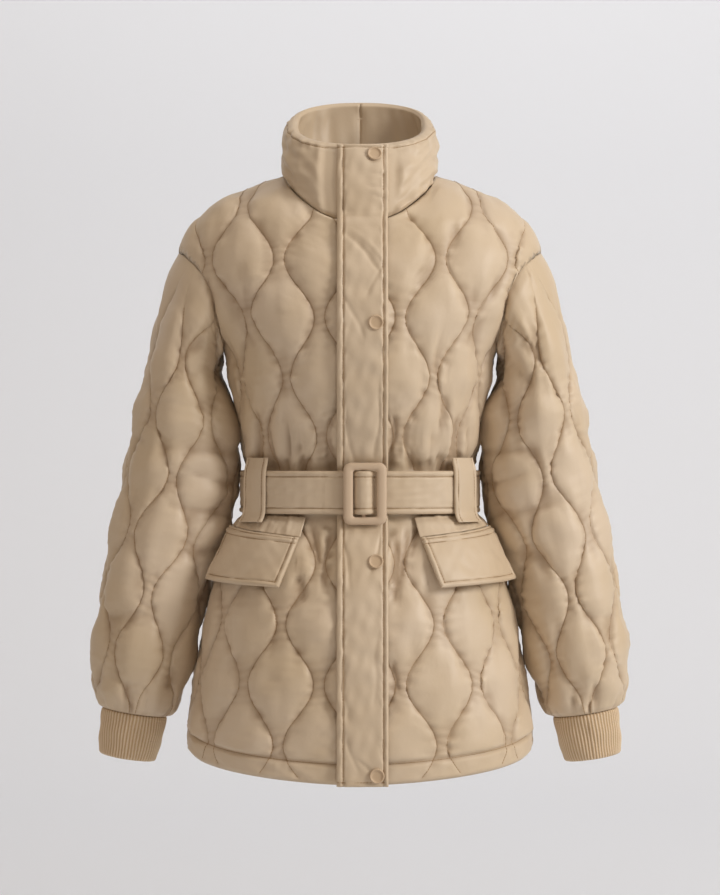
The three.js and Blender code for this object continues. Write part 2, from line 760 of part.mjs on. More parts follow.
function placketGrid(fine) {
  const width = PLACKET_RIGHT - PLACKET_LEFT;
  const stitches = [PLACKET_STITCH_RIGHT / width, 1 - PLACKET_STITCH_LEFT / width];
  const across = [0, 0.06, stitches[0], 0.2, 0.5, 0.84, stitches[1], 0.95, 1];
  const full = PLACKET_THICK;
  const sunk = full - STITCH_DEPTH;
  const thick = [1.8, full, sunk, full, full + 0.4, full, sunk, full, 1.8];
  const columns = fine ? across : [0, 0.25, 0.5, 0.75, 1];
  const steps = 36;
  const grid = { rows: [], across: [], along: [] };
  for (let r = 0; r <= steps; r += 1) {
    const along = r / steps;
    const z = mix(HEM_FRONT - 0.5, PLACKET_TOP, along);
    grid.along.push(along);
    grid.across.push(columns);
    grid.rows.push(columns.map((t, c) => {
      const x = mix(PLACKET_LEFT, PLACKET_RIGHT, t);
      const off = PLACKET_OFF + (fine ? thick[c] : 0);
      return frontPoint(x, z, off);
    }));
  }
  return grid;
}

addPiece('placket', sheetSolid(placketGrid(true), placketGrid(false)), plain);

// Snap caps: centre x and height of each, covered domes with a rolled rim

const SNAPS = [[15, 18], [16.5, -163], [16.5, -416], [17.5, -637]];
const SNAP_SEAT = PLACKET_OFF + PLACKET_THICK + 0.6;
// Radius and height of the cap's profile
const SNAP_PROFILE = [
  [0, 0], [SNAP_RADIUS - 0.6, 0], [SNAP_RADIUS, 0.8], [SNAP_RADIUS - 0.5, 2],
  [SNAP_RADIUS - 2, 2.3], [SNAP_RADIUS / 2, 2.7], [0, 2.9],
];
SNAPS.forEach(([x, z], i) => {
  const cap = new THREE.LatheGeometry(SNAP_PROFILE.map(([r, h]) => new THREE.Vector2(r, h)), 20);
  const near = frontPoint(x, z, 0);
  const seat = frontPoint(x, z, SNAP_SEAT);
  const up = seat.clone().sub(near).normalize();
  cap.applyQuaternion(new THREE.Quaternion().setFromUnitVectors(new THREE.Vector3(0, 1, 0), up));
  cap.translate(seat.x, seat.y, seat.z);
  addPiece(`snap_${i + 1}`, cap, plain);
});

// Belt round the waist, over the placket and through the buckle

// The belt rises by the hump where it goes over the buckle's bar
const BUCKLE = {
  middle: 5.3, z: -343, width: 46, height: 66, border: 10.5, thick: 6, back: 109.8,
  bar: 4, barThick: 2, barAt: -1.5, hump: 10.2, humpHalf: 7, radius: 6,
};

function beltPath(turn) {
  const waistA = halfWidth(BELT_MIDDLE) + BELT_GAP;
  const angle = turn * 2 * Math.PI;
  const front = Math.cos(angle) > 0;
  const overPlacket = PLACKET_OFF + PLACKET_THICK + BELT_GAP + 1;
  const b = front ? depth.front(BELT_MIDDLE) + overPlacket : depth.back(BELT_MIDDLE) + BELT_GAP;
  const x = waistA * Math.sign(Math.sin(angle)) * Math.abs(Math.sin(angle)) ** (2 / SUPER);
  let y = -b * Math.sign(Math.cos(angle)) * Math.abs(Math.cos(angle)) ** (2 / SUPER);
  const fromBar = (x - BUCKLE.middle - BUCKLE.barAt) / BUCKLE.humpHalf;
  if (front) y -= BUCKLE.hump * Math.exp(-(fromBar ** 4));
  return new THREE.Vector3(x, y, 0);
}

function beltGrid(fine) {
  const half = [[0.62, 0], [0.74, 0.6], [0.86, 0], [1, 0.7]];
  const ridge = [...half.map(([at, dip]) => [-at, dip]).reverse(), ...half];
  const rows = fine ? ridge : [[-1, 0], [1, 0]];
  const turns = [];
  const sides = 40;
  const steps = 9;
  const [middle, step] = [0.0066, 0.005];
  const end = middle + steps * step;
  for (let k = -steps; k <= steps; k += 1) turns.push(middle + k * step);
  for (let k = 1; k < sides; k += 1) turns.push(mix(end, 1 + middle - steps * step, k / sides));
  const grid = { rows: [], across: [], along: [] };
  for (const [place, dip] of rows) {
    grid.along.push((place + 1) / 2);
    grid.across.push(turns.map(turn => turn - turns[0]));
    grid.rows.push(turns.map(turn => {
      const p = beltPath(turn);
      const ahead = beltPath(turn + 0.0005).sub(beltPath(turn - 0.0005));
      const away = new THREE.Vector3(-ahead.y, ahead.x, 0).normalize().negate();
      p.addScaledVector(away, fine ? BELT_THICK - dip : 0);
      p.z = BELT_MIDDLE + place * BELT_WIDTH / 2;
      return p;
    }));
  }
  return grid;
}

addPiece('belt', tubeSolid(beltGrid(true), beltGrid(false), false), plain);

function roundedFrame(width, height, radius) {
  const shape = new THREE.Shape();
  const [x, z] = [width / 2, height / 2];
  shape.moveTo(radius - x, -z);
  shape.lineTo(x - radius, -z);
  shape.quadraticCurveTo(x, -z, x, radius - z);
  shape.lineTo(x, z - radius);
  shape.quadraticCurveTo(x, z, x - radius, z);
  shape.lineTo(radius - x, z);
  shape.quadraticCurveTo(-x, z, -x, z - radius);
  shape.lineTo(-x, radius - z);
  shape.quadraticCurveTo(-x, -z, radius - x, -z);
  return shape;
}

function join(first, second) {
  const [a, b] = [first, second].map(geometry => {
    const bare = geometry.clone();
    bare.deleteAttribute('normal');
    bare.deleteAttribute('uv');
    const merged = mergeVertices(bare, 1e-4);
    return new wasm.Manifold(new wasm.Mesh({
      numProp: 3,
      vertProperties: new Float32Array(merged.attributes.position.array),
      triVerts: new Uint32Array(merged.index.array),
    }));
  });
  const result = a.add(b).getMesh();
  const geometry = new THREE.BufferGeometry();
  geometry.setAttribute('position', new THREE.Float32BufferAttribute(result.vertProperties, 3));
  geometry.setIndex(Array.from(result.triVerts));
  return geometry;
}

const frame = roundedFrame(BUCKLE.width, BUCKLE.height, BUCKLE.radius);
const windowWidth = BUCKLE.width - 2 * BUCKLE.border;
const windowHeight = BELT_WIDTH + 3.5;
frame.holes.push(roundedFrame(windowWidth, windowHeight, BUCKLE.radius / 4));
const extrusion = { depth: BUCKLE.thick, bevelEnabled: false, curveSegments: 3 };
const border = new THREE.ExtrudeGeometry(frame, extrusion);
const bar = new THREE.BoxGeometry(BUCKLE.bar, windowHeight + 4, BUCKLE.barThick);
bar.translate(BUCKLE.barAt, 0, BUCKLE.barThick / 2);
const buckle = join(border, bar);
buckle.rotateX(Math.PI / 2);
buckle.translate(BUCKLE.middle, -BUCKLE.back, BUCKLE.z);
addPiece('buckle', buckle, plain);

// Pieces laid on a front: corners in distance along the section and height

function laidPoint(corners, u, v, off) {
  const [insideLow, outsideLow, insideHigh, outsideHigh] = corners;
  const s = mix(mix(insideLow[0], outsideLow[0], u), mix(insideHigh[0], outsideHigh[0], u), v);
  const z = mix(mix(insideLow[1], outsideLow[1], u), mix(insideHigh[1], outsideHigh[1], u), v);
  const at = s / quarter('front', z).length;
  return crown('front', at, z).addScaledVector(outward('front', at, z), off);
}

function laidGrid(corners, us, vs, off) {
  return {
    rows: vs.map(v => us.map(u => laidPoint(corners, u, v, off(u, v)))),
    across: vs.map(() => us),
    along: vs,
  };
}

const FLAP = [[84, -444], [196, -439], [65, -391], [170, -380]];
const FLAP_EDGE = 5.5;         // stitch line's distance from the flap's edge
const FLAP_LONG = 115;
const FLAP_HIGH = 57;
const FLAP_THICK = 3.4;
const FLAP_BAND = 0.88;        // share of the height at which the band along the top starts
// The flap's lower edge stands off the front
const flapStand = v => 1.2 + 7.5 * (1 - v) ** 1.3;

function flapThick(u, v) {
  const stitch = Math.min(Math.min(u, 1 - u) * FLAP_LONG, v * FLAP_HIGH);
  let thick = FLAP_THICK;
  if (Math.abs(stitch - FLAP_EDGE) < 1 || Math.abs(v - FLAP_BAND) < 0.01) thick -= 0.8;
  if (v > FLAP_BAND + 0.02) thick += 0.5;
  if (stitch < 0.5) thick -= 1;
  return thick;
}

const [edgeU, edgeV] = [FLAP_EDGE / FLAP_LONG, FLAP_EDGE / FLAP_HIGH];
const flapUs = [0, 0.025, edgeU, 0.09, 0.3, 0.5, 0.7, 0.91, 1 - edgeU, 0.975, 1];
const flapVs = [0, 0.04, edgeV, 0.16, 0.5, 0.84, FLAP_BAND, 0.91, 1];
const flapOuter = laidGrid(FLAP, flapUs, flapVs, (u, v) => flapStand(v) + flapThick(u, v));
const flapInner = laidGrid(FLAP, [0, 0.25, 0.5, 0.75, 1], [0, 0.5, 1], (u, v) => flapStand(v));
const flapGeometry = sheetSolid(flapOuter, flapInner);
addPiece('flap_left', flapGeometry, plain);
addPiece('flap_right', mirrored(flapGeometry), plain);

const PATCH = [[64, -390], [168, -379.2], [58, -368.5], [158, -368.5]];
const patchUs = [0, 0.2, 0.4, 0.6, 0.8, 1];
const patchOuter = laidGrid(PATCH, patchUs, [0, 0.5, 1], () => 2.4);
const patchInner = laidGrid(PATCH, patchUs, [0, 0.5, 1], () => 0.9);
const patchGeometry = sheetSolid(patchOuter, patchInner);
addPiece('patch_left', patchGeometry, plain);
addPiece('patch_right', mirrored(patchGeometry), plain);

// Belt loops: a strap that leaves the front above the belt and returns to it below

const LOOP = { width: 36, at: 122, thick: 2.4 };
// Height and distance out from the waist
const LOOP_PATH = [
  [-378, 19.5], [-371, 13.5], [-365, 9.8], [-352, 9.4], [-332, 9.4], [-319, 8.6], [-312, 6.4],
  [-307, 5.2],
];

function loopGrid(across, extra) {
  const point = (z, out, t) => {
    const at = (LOOP.at + (t - 0.5) * LOOP.width) / quarter('front', BELT_MIDDLE).length;
    const place = crown('front', at, BELT_MIDDLE);
    place.addScaledVector(outward('front', at, BELT_MIDDLE), out + extra(t));
    place.z = z;
    return place;
  };
  return {
    rows: LOOP_PATH.map(([z, out]) => across.map(t => point(z, out, t))),
    across: LOOP_PATH.map(() => across),
    along: LOOP_PATH.map((_, r) => r / (LOOP_PATH.length - 1)),
  };
}

const loopStitches = [0.12, 0.88];
const loopThick = t => LOOP.thick - (loopStitches.includes(t) ? 0.5 : 0);
const loopOuter = loopGrid([0, loopStitches[0], 0.2, 0.5, 0.8, loopStitches[1], 1], loopThick);
const loopGeometry = sheetSolid(loopOuter, loopGrid([0, 0.5, 1], () => 0));
addPiece('loop_left', loopGeometry, plain);
addPiece('loop_right', mirrored(loopGeometry), plain);

export default jacket;
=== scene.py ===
import math

import bmesh
import bpy
import numpy as np
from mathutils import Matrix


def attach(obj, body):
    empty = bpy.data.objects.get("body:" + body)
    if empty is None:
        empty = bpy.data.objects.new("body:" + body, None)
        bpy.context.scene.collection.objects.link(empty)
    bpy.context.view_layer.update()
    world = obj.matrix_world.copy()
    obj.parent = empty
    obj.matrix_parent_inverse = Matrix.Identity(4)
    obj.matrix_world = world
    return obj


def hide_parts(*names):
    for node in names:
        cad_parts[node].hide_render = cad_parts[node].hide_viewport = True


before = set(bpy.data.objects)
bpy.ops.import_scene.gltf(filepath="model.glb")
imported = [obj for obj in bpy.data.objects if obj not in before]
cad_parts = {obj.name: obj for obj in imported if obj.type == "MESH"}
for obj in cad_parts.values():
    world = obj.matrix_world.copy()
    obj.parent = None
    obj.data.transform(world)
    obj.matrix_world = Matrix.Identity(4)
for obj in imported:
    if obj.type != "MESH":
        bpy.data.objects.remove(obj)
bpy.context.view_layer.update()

# Camera, floor and light
# The jacket is seen straight from the front, level, at the height of its middle. A plain pale
# backdrop curves up behind it, and one large soft light stands to the viewer's right.

MM = 0.001
CAMERA_AWAY = 3000
CAMERA_HEIGHT = -294
MM_PER_PIXEL = 1.1
PHOTO_HEIGHT = 895
FLOOR = -900

camera_data = bpy.data.cameras.new("camera")
camera_data.sensor_fit = "VERTICAL"
camera_data.sensor_height = 36
camera_data.lens = 36 * CAMERA_AWAY / (MM_PER_PIXEL * PHOTO_HEIGHT)
camera = bpy.data.objects.new("camera", camera_data)
camera.location = (0, -CAMERA_AWAY * MM, CAMERA_HEIGHT * MM)
camera.rotation_euler = (math.radians(90), 0, 0)
bpy.context.collection.objects.link(camera)
bpy.context.scene.camera = camera
bpy.context.scene.view_settings.view_transform = "Standard"


def linear(colour):
    """Linear RGBA of an sRGB hex colour."""
    parts = [int(colour[i:i + 2], 16) / 255 for i in (1, 3, 5)]
    return [p / 12.92 if p <= 0.04045 else ((p + 0.055) / 1.055) ** 2.4 for p in parts] + [1]


def add_node(tree, kind, settings=None, values=None, links=None):
    """A node with its settings, socket values, and links to its inputs."""
    node = tree.nodes.new(kind)
    for name, value in (settings or {}).items():
        setattr(node, name, value)
    for name, value in (values or {}).items():
        node.inputs[name].default_value = value
    for name, source in (links or {}).items():
        tree.links.new(source, node.inputs[name])
    return node


def new_material(name):
    material = bpy.data.materials.new(name)
    material.use_nodes = True
    material.node_tree.nodes.clear()
    return material, material.node_tree


# Painted studio sweep: flat and even, so it only carries a faint shadow
sweep_material, tree = new_material("matt_paint_sweep")
sweep_coat = add_node(tree, "ShaderNodeBsdfPrincipled", values={
    "Base Color": linear("#E6EAF0"), "Roughness": 0.95})
add_node(tree, "ShaderNodeOutputMaterial", links={"Surface": sweep_coat.outputs["BSDF"]})

profile = [(-6.0, FLOOR * MM), (1.6, FLOOR * MM)]
for step in range(1, 13):
    turn = math.radians(90 * step / 12)
    profile.append((1.6 + 1.2 * math.sin(turn), FLOOR * MM + 1.2 * (1 - math.cos(turn))))
profile.append((2.8, 5.0))
sweep_mesh = bpy.data.meshes.new("sweep")
sweep_points = [(x, y, z) for y, z in profile for x in (-6.0, 6.0)]
sweep_faces = [(2 * i, 2 * i + 1, 2 * i + 3, 2 * i + 2) for i in range(len(profile) - 1)]
sweep_mesh.from_pydata(sweep_points, [], sweep_faces)
sweep_mesh.materials.append(sweep_material)
for polygon in sweep_mesh.polygons:
    polygon.use_smooth = True
sweep = bpy.data.objects.new("sweep", sweep_mesh)
bpy.context.collection.objects.link(sweep)


def add_light(name, place, aim, size, power, colour):
    data = bpy.data.lights.new(name, "AREA")
    data.shape = "RECTANGLE"
    data.size = size[0]
    data.size_y = size[1]
    data.energy = power
    data.color = linear(colour)[:3]
    lamp = bpy.data.objects.new(name, data)
    lamp.location = place
    away = np.array(place) - np.array(aim)
    lamp.rotation_euler = (math.acos(away[2] / np.linalg.norm(away)), 0,
                           math.atan2(away[1], away[0]) + math.pi / 2)
    bpy.context.collection.objects.link(lamp)


add_light("key", (3.0, -1.7, 1.2), (0, 0, -0.3), (1.1, 1.6), 84, "#FFFDFB")
add_light("fill", (-2.4, -2.8, 0.4), (0, 0, -0.3), (2.0, 2.4), 5, "#FFE4CC")
add_light("top", (0.2, -0.5, 2.4), (0, 0, 0), (1.8, 1.2), 17, "#FFFFFF")
add_light("back", (0.0, 1.6, 1.6), (0, 2.8, 0.0), (4.0, 1.0), 16, "#FFFFFF")

world = bpy.data.worlds.new("studio")
bpy.context.scene.world = world
world.use_nodes = True
world.node_tree.nodes["Background"].inputs["Color"].default_value = linear("#F4E1CF")
world.node_tree.nodes["Background"].inputs["Strength"].default_value = 0.4

# Fronts and back
# Light woven shell over thin padding, quilted in waves that close and open like onions. Three
# pieces, joined at the side and shoulder seams, with a hem turned up and stitched once round.

WALL = 9.5
GROOVE = 2.6
SEAM_WALL = 3.5
SEAM_GAP = 0.2
QUARTER = 264
LINES = 6
SPACING = QUARTER / LINES
WAVE = 16.2
WAVE_LENGTH = 129
WAVE_START = -414
UNDERARM = -180
SHOULDER_TIP = -80
NECK_SIDE = 6
HEM_FRONT = -648
HEM_SIDE = -620
HEM_BACK = -626
HEM_STITCH = 22
SUPER = 2.3
CLOTH_LIGHT = "#D3C0A7"
CLOTH_MIDDLE = "#CBB698"
# The darkest cloth colour is painted shade, which the cloth shader mixes into grooves and creases.
CLOTH_GROOVE_SHADE = "#8C6D4E"

# Height, half width, front depth and back depth at the crowns of the puffs
BODY = [
    (-650, 192.5, 150, 142), (-594, 191, 150, 143), (-550, 184.5, 148, 143), (-506, 177, 145, 142),
    (-462, 168.5, 138, 138), (-415, 156, 124, 127), (-388, 146, 109, 115), (-377, 139, 102.5, 106),
    (-366, 126.5, 96.5, 92), (-318, 126.5, 96.5, 92), (-309, 129, 101, 96), (-289, 133, 109, 102),
    (-264, 138, 118, 108), (-242, 141, 123, 112), (-220, 146, 127, 115), (-198, 149, 129, 117),
    (-180, 157, 130, 118), (-150, 178, 128, 117), (-125, 192, 124, 115), (-100, 199, 118, 111),
    (-80, 200, 111, 106), (-66, 196, 106, 103), (-50, 187, 99.5, 99), (-40, 177, 92, 96),
    (-31, 167, 84, 94), (-22, 154, 73, 91), (-13, 135, 58, 88), (-4, 114, 34, 83),
    (0, 104, 22, 80), (6, 84, 9, 73), (8, 82, 6, 70),
]
# Height and distance from the middle of the armhole seam
ARMHOLE = [
    (-180, 157), (-176, 154), (-167, 156), (-152, 159.5), (-132, 163), (-113, 170.5), (-97, 181.5),
    (-86, 193), (-80, 200),
]
# Distance from the middle and height of the front neck seam
NECK_FRONT = [(0, -51), (24.5, -50), (39.5, -44.5), (64, -26), (78, -9), (84, 6)]


def smooth_column(rows, column):
    """A curve through one column of a table that never overshoots."""
    at = np.array([row[0] for row in rows], float)
    value = np.array([row[column] for row in rows], float)
    steps = np.diff(value) / np.diff(at)
    slope = np.zeros(len(at))
    same = steps[:-1] * steps[1:] > 0
    both = np.where(same, steps[:-1] + steps[1:], 1)
    slope[1:-1] = np.where(same, 2 * steps[:-1] * steps[1:] / both, 0)

    def curve(x):
        x = np.clip(np.asarray(x, float), at[0], at[-1])
        i = np.clip(np.searchsorted(at, x) - 1, 0, len(at) - 2)
        width = at[i + 1] - at[i]
        t = (x - at[i]) / width
        start = value[i] * (1 + 2 * t) * (1 - t) ** 2 + slope[i] * width * t * (1 - t) ** 2
        return start + value[i + 1] * t * t * (3 - 2 * t) + slope[i + 1] * width * t * t * (t - 1)

    return curve


half_width = smooth_column(BODY, 1)
body_depth = {"front": smooth_column(BODY, 2), "back": smooth_column(BODY, 3)}
armhole_x = smooth_column(ARMHOLE, 1)
neck_height = smooth_column(NECK_FRONT, 1)


def ease(t):
    c = np.clip(t, 0, 1)
    return c * c * (3 - 2 * c)


def mix(a, b, t):
    return a + (b - a) * t


# The rounded section, for every ratio of depth to width: angle by length, and length by angle
RATIOS = np.linspace(0.04, 1.1, 60)
ANGLES = np.linspace(0, math.pi / 2, 241)
EVEN = np.linspace(0, 1, 241)
section_x = np.sin(ANGLES) ** (2 / SUPER)
section_y = np.clip(np.cos(ANGLES), 0, 1) ** (2 / SUPER)
length_of = []
angle_by_length = []
length_by_angle = []
for ratio in RATIOS:
    run = np.concatenate([[0], np.cumsum(np.hypot(np.diff(section_x), ratio * np.diff(section_y)))])
    length_of.append(run[-1])
    angle_by_length.append(np.interp(EVEN, run / run[-1], ANGLES))
    length_by_angle.append(run / run[-1])
length_of = np.array(length_of)
angle_by_length = np.array(angle_by_length)
length_by_angle = np.array(length_by_angle)


def look_up(table, ratio, position):
    i = (np.clip(ratio, RATIOS[0], RATIOS[-1]) - RATIOS[0]) / (RATIOS[1] - RATIOS[0])
    j = np.clip(position, 0, 1) * (table.shape[1] - 1)
    i0 = np.clip(i.astype(int), 0, len(RATIOS) - 2)
    j0 = np.clip(j.astype(int), 0, table.shape[1] - 2)
    ti, tj = i - i0, j - j0
    low = mix(table[i0, j0], table[i0, j0 + 1], tj)
    return mix(low, mix(table[i0 + 1, j0], table[i0 + 1, j0 + 1], tj), ti)


def quarter_length(side, z):
    a = half_width(z)
    return a * np.interp(body_depth[side](z) / a, RATIOS, length_of)


def crown(side, u, z):
    """Points of the crown surface, from the centre, u = 0, to the side, u = 1."""
    a, b = half_width(z), body_depth[side](z)
    angle = look_up(angle_by_length, b / a, u + 0 * z)
    x = a * np.sin(angle) ** (2 / SUPER)
    y = b * np.clip(np.cos(angle), 0, 1) ** (2 / SUPER)
    return np.stack([x, -y if side == "front" else y, z + 0 * x], -1)


def unit(v):
    return v / np.maximum(np.linalg.norm(v, axis=-1, keepdims=True), 1e-9)


def outward(side, u, z):
    step = 0.02
    across = crown(side, np.minimum(u + step, 1), z) - crown(side, np.maximum(u - step, 0), z)
    sign = 1 if side == "front" else -1
    at_side = (u + step > 1)[..., None]
    at_centre = (u - step < 0)[..., None]
    across = np.where(at_side, np.array([0, sign, 0.0]), across)
    across = np.where(at_centre, np.array([1.0, 0, 0]), across)
    up = crown(side, u, z + 1.5) - crown(side, u, z - 1.5)
    return sign * unit(np.cross(across, up))


def u_at_x(side, x, z):
    a, b = half_width(z), body_depth[side](z)
    angle = np.arcsin(np.clip(x / a, 0, 1) ** (SUPER / 2))
    return look_up(length_by_angle, b / a, angle / (math.pi / 2))


def reach(side, z):
    """Length of the section up to the armhole seam, or to the side seam below it."""
    length = quarter_length(side, z)
    inside = (z > UNDERARM) & (z < SHOULDER_TIP)
    x = np.minimum(armhole_x(z), half_width(z))
    return np.where(inside, u_at_x(side, x, z) * length, length)


def place_across(side, f, z):
    gathered = 1 - ease((z - UNDERARM) / 70)
    return f - gathered * (QUARTER - quarter_length(side, z)) * (f / QUARTER) ** 2


def quilt_line(j, z):
    swing = np.cos(2 * math.pi * (z - WAVE_START) / WAVE_LENGTH)
    return (j + 0.5) * SPACING + np.where(j % 2 == 0, 1, -1) * WAVE * swing


def ripples(x, y, seed, length, count=7):
    """Soft uneven waves of about the given length, in a range of about -1 to 1."""
    rng = np.random.default_rng(seed)
    total = 0 * (x + y)
    for _ in range(count):
        heading = rng.uniform(0, 2 * math.pi)
        size = 2 * math.pi / (length * rng.uniform(0.7, 1.5))
        phase = rng.uniform(0, 2 * math.pi)
        total = total + np.sin((x * math.cos(heading) + y * math.sin(heading)) * size + phase)
    return total / math.sqrt(count)


def puff_shape(t):
    return np.clip(4 * t * (1 - t), 0, 1) ** 0.58


def puckers(distance, across, along, seed):
    """Small cross wrinkles that the stitching draws up, strongest beside the line."""
    waves = ripples(across * 0.35, along, seed, 9.5)
    return 0.75 * np.exp(-(distance / 7.5) ** 1.4) * waves


# Folds of the fronts: x and height of both ends, half width and depth. A fold
# with a depth below zero is a ridge. They are set for the wearer's left and right front.
FOLDS_LEFT = [
    (94, -232, 84, -318, 5, 5.5), (80, -262, 72, -318, 4, 4.0), (37, -246, 33, -318, 4.5, 4.6),
    (46, -284, 49, -318, 5, -2.4), (108, -248, 105, -318, 4.5, 4.0), (60, -236, 57, -318, 4, 3.0),
    (36, -366, 40, -462, 4.5, 4.4), (50, -366, 46, -426, 4, 3.2), (64, -366, 58, -404, 4, 3.0),
    (122, -246, 118, -318, 5, 4.0), (100, -190, 92, -230, 9, 1.8), (140, -150, 118, -186, 7, 2.2),
    (33, -410, 42, -436, 4, 3.0), (38, -470, 32, -500, 4, 2.6), (34, -508, 40, -545, 4, 2.4),
    (70, -60, 66, -120, 7, 1.8), (104, -34, 102, -96, 8, 1.8), (128, -70, 122, -140, 8, 1.8),
    (150, -92, 141, -160, 7, 2.0), (88, -150, 84, -214, 7, 1.8),
]
FOLDS_RIGHT = [
    (82, -244, 79, -318, 5, 5.6), (68, -262, 63, -318, 4, 4.2), (34, -250, 30, -318, 4, 3.6),
    (49, -270, 51, -318, 5, -2.2), (100, -250, 97, -318, 4.5, 4.0), (116, -242, 112, -318, 5, 4.2),
    (68, -392, 63, -452, 4.5, 5.0), (34, -366, 38, -440, 4.5, 3.8), (51, -366, 47, -410, 4, 3.2),
    (138, -148, 116, -188, 7, 2.4), (96, -206, 84, -236, 8, 1.6), (72, -52, 64, -118, 7, 1.8),
    (108, -40, 104, -104, 8, 1.8), (132, -76, 124, -150, 8, 2.0), (150, -96, 140, -164, 7, 2.0),
    (60, -150, 56, -206, 7, 1.6), (92, -470, 96, -540, 7, 1.8),
]
FOLDS_BACK = [
    (18, -236, 16, -318, 5, 4.4), (38, -262, 42, -318, 4, 3.4), (62, -232, 60, -318, 5, 4.4),
    (84, -264, 88, -318, 4, 3.6), (108, -240, 106, -318, 5, 4.0), (24, -366, 28, -440, 5, 3.8),
    (52, -366, 50, -412, 4, 3.2), (78, -366, 84, -450, 5, 4.0), (104, -366, 108, -414, 4, 3.0),
    (138, -148, 112, -200, 8, 2.4), (40, -80, 36, -160, 9, 1.8), (96, -50, 90, -130, 9, 1.8),
    (132, -80, 126, -150, 8, 1.8),
]


def fold_depth(folds, x, z):
    total = 0 * x
    for x0, z0, x1, z1, width, depth in folds:
        length = math.hypot(x1 - x0, z1 - z0)
        ux, uz = (x1 - x0) / length, (z1 - z0) / length
        along = (x - x0) * ux + (z - z0) * uz
        aside = (x - x0) * uz - (z - z0) * ux
        aside = aside + 1.6 * np.sin(along / 11 + x0)
        taper = ease(along / (0.45 * length)) * ease((length + 9 - along) / 12)
        total = total + 1.25 * depth * taper * np.exp(-np.abs(aside / (0.62 * width)) ** 1.3)
    return total


GAP_AT = (0, 0.022, 0.055, 0.11, 0.19, 0.29, 0.4, 0.5, 0.6, 0.71, 0.81, 0.89, 0.945, 0.978)
columns = []
for j in range(-1, LINES):
    if j < 0:
        columns += [(j, 2 * t - 1) for t in GAP_AT if t >= 0.5]
    else:
        columns += [(j, 2 * t if j == LINES - 1 else t) for t in GAP_AT if j < LINES - 1 or t < 0.5]
columns.append((LINES, 0.0))
column_j = np.array([c[0] for c in columns])
column_t = np.array([c[1] for c in columns])

# Rows: marks that the front and back share, and how many rows lead to each
MARKS = [(0, 0), (3, 16), (14, 100), (15, 7), (18, 14), (19, 5), (25, 58), (32, 58)]
row_at = np.concatenate([[0.0]] + [
    np.linspace(MARKS[i][0], MARKS[i + 1][0], MARKS[i + 1][1] + 1)[1:] for i in range(len(MARKS) - 1)])
NECK_CLOTH = {"front": 88.0, "back": float(quarter_length("back", np.array(6.0)))}
ridge_z = np.linspace(NECK_SIDE, SHOULDER_TIP, 200)


def column_cloth(z):
    start = np.where(column_j < 0, 0, quilt_line(column_j, z))
    start = np.where(column_j >= LINES, QUARTER, start)
    end = np.where(column_j >= LINES - 1, QUARTER, quilt_line(column_j + 1, z))
    return mix(start, end, column_t), end - start


def top_height(side, f):
    neck = NECK_CLOTH[side]
    ridge = np.interp(f, quarter_length(side, ridge_z), ridge_z)
    at_neck = neck_height(84 * f / neck) if side == "front" else 8 - 2 * f / neck
    return np.where(f <= neck, at_neck, ridge)


def hem_height(side, f):
    return mix(HEM_FRONT if side == "front" else HEM_BACK, HEM_SIDE, (f / QUARTER) ** 1.6)


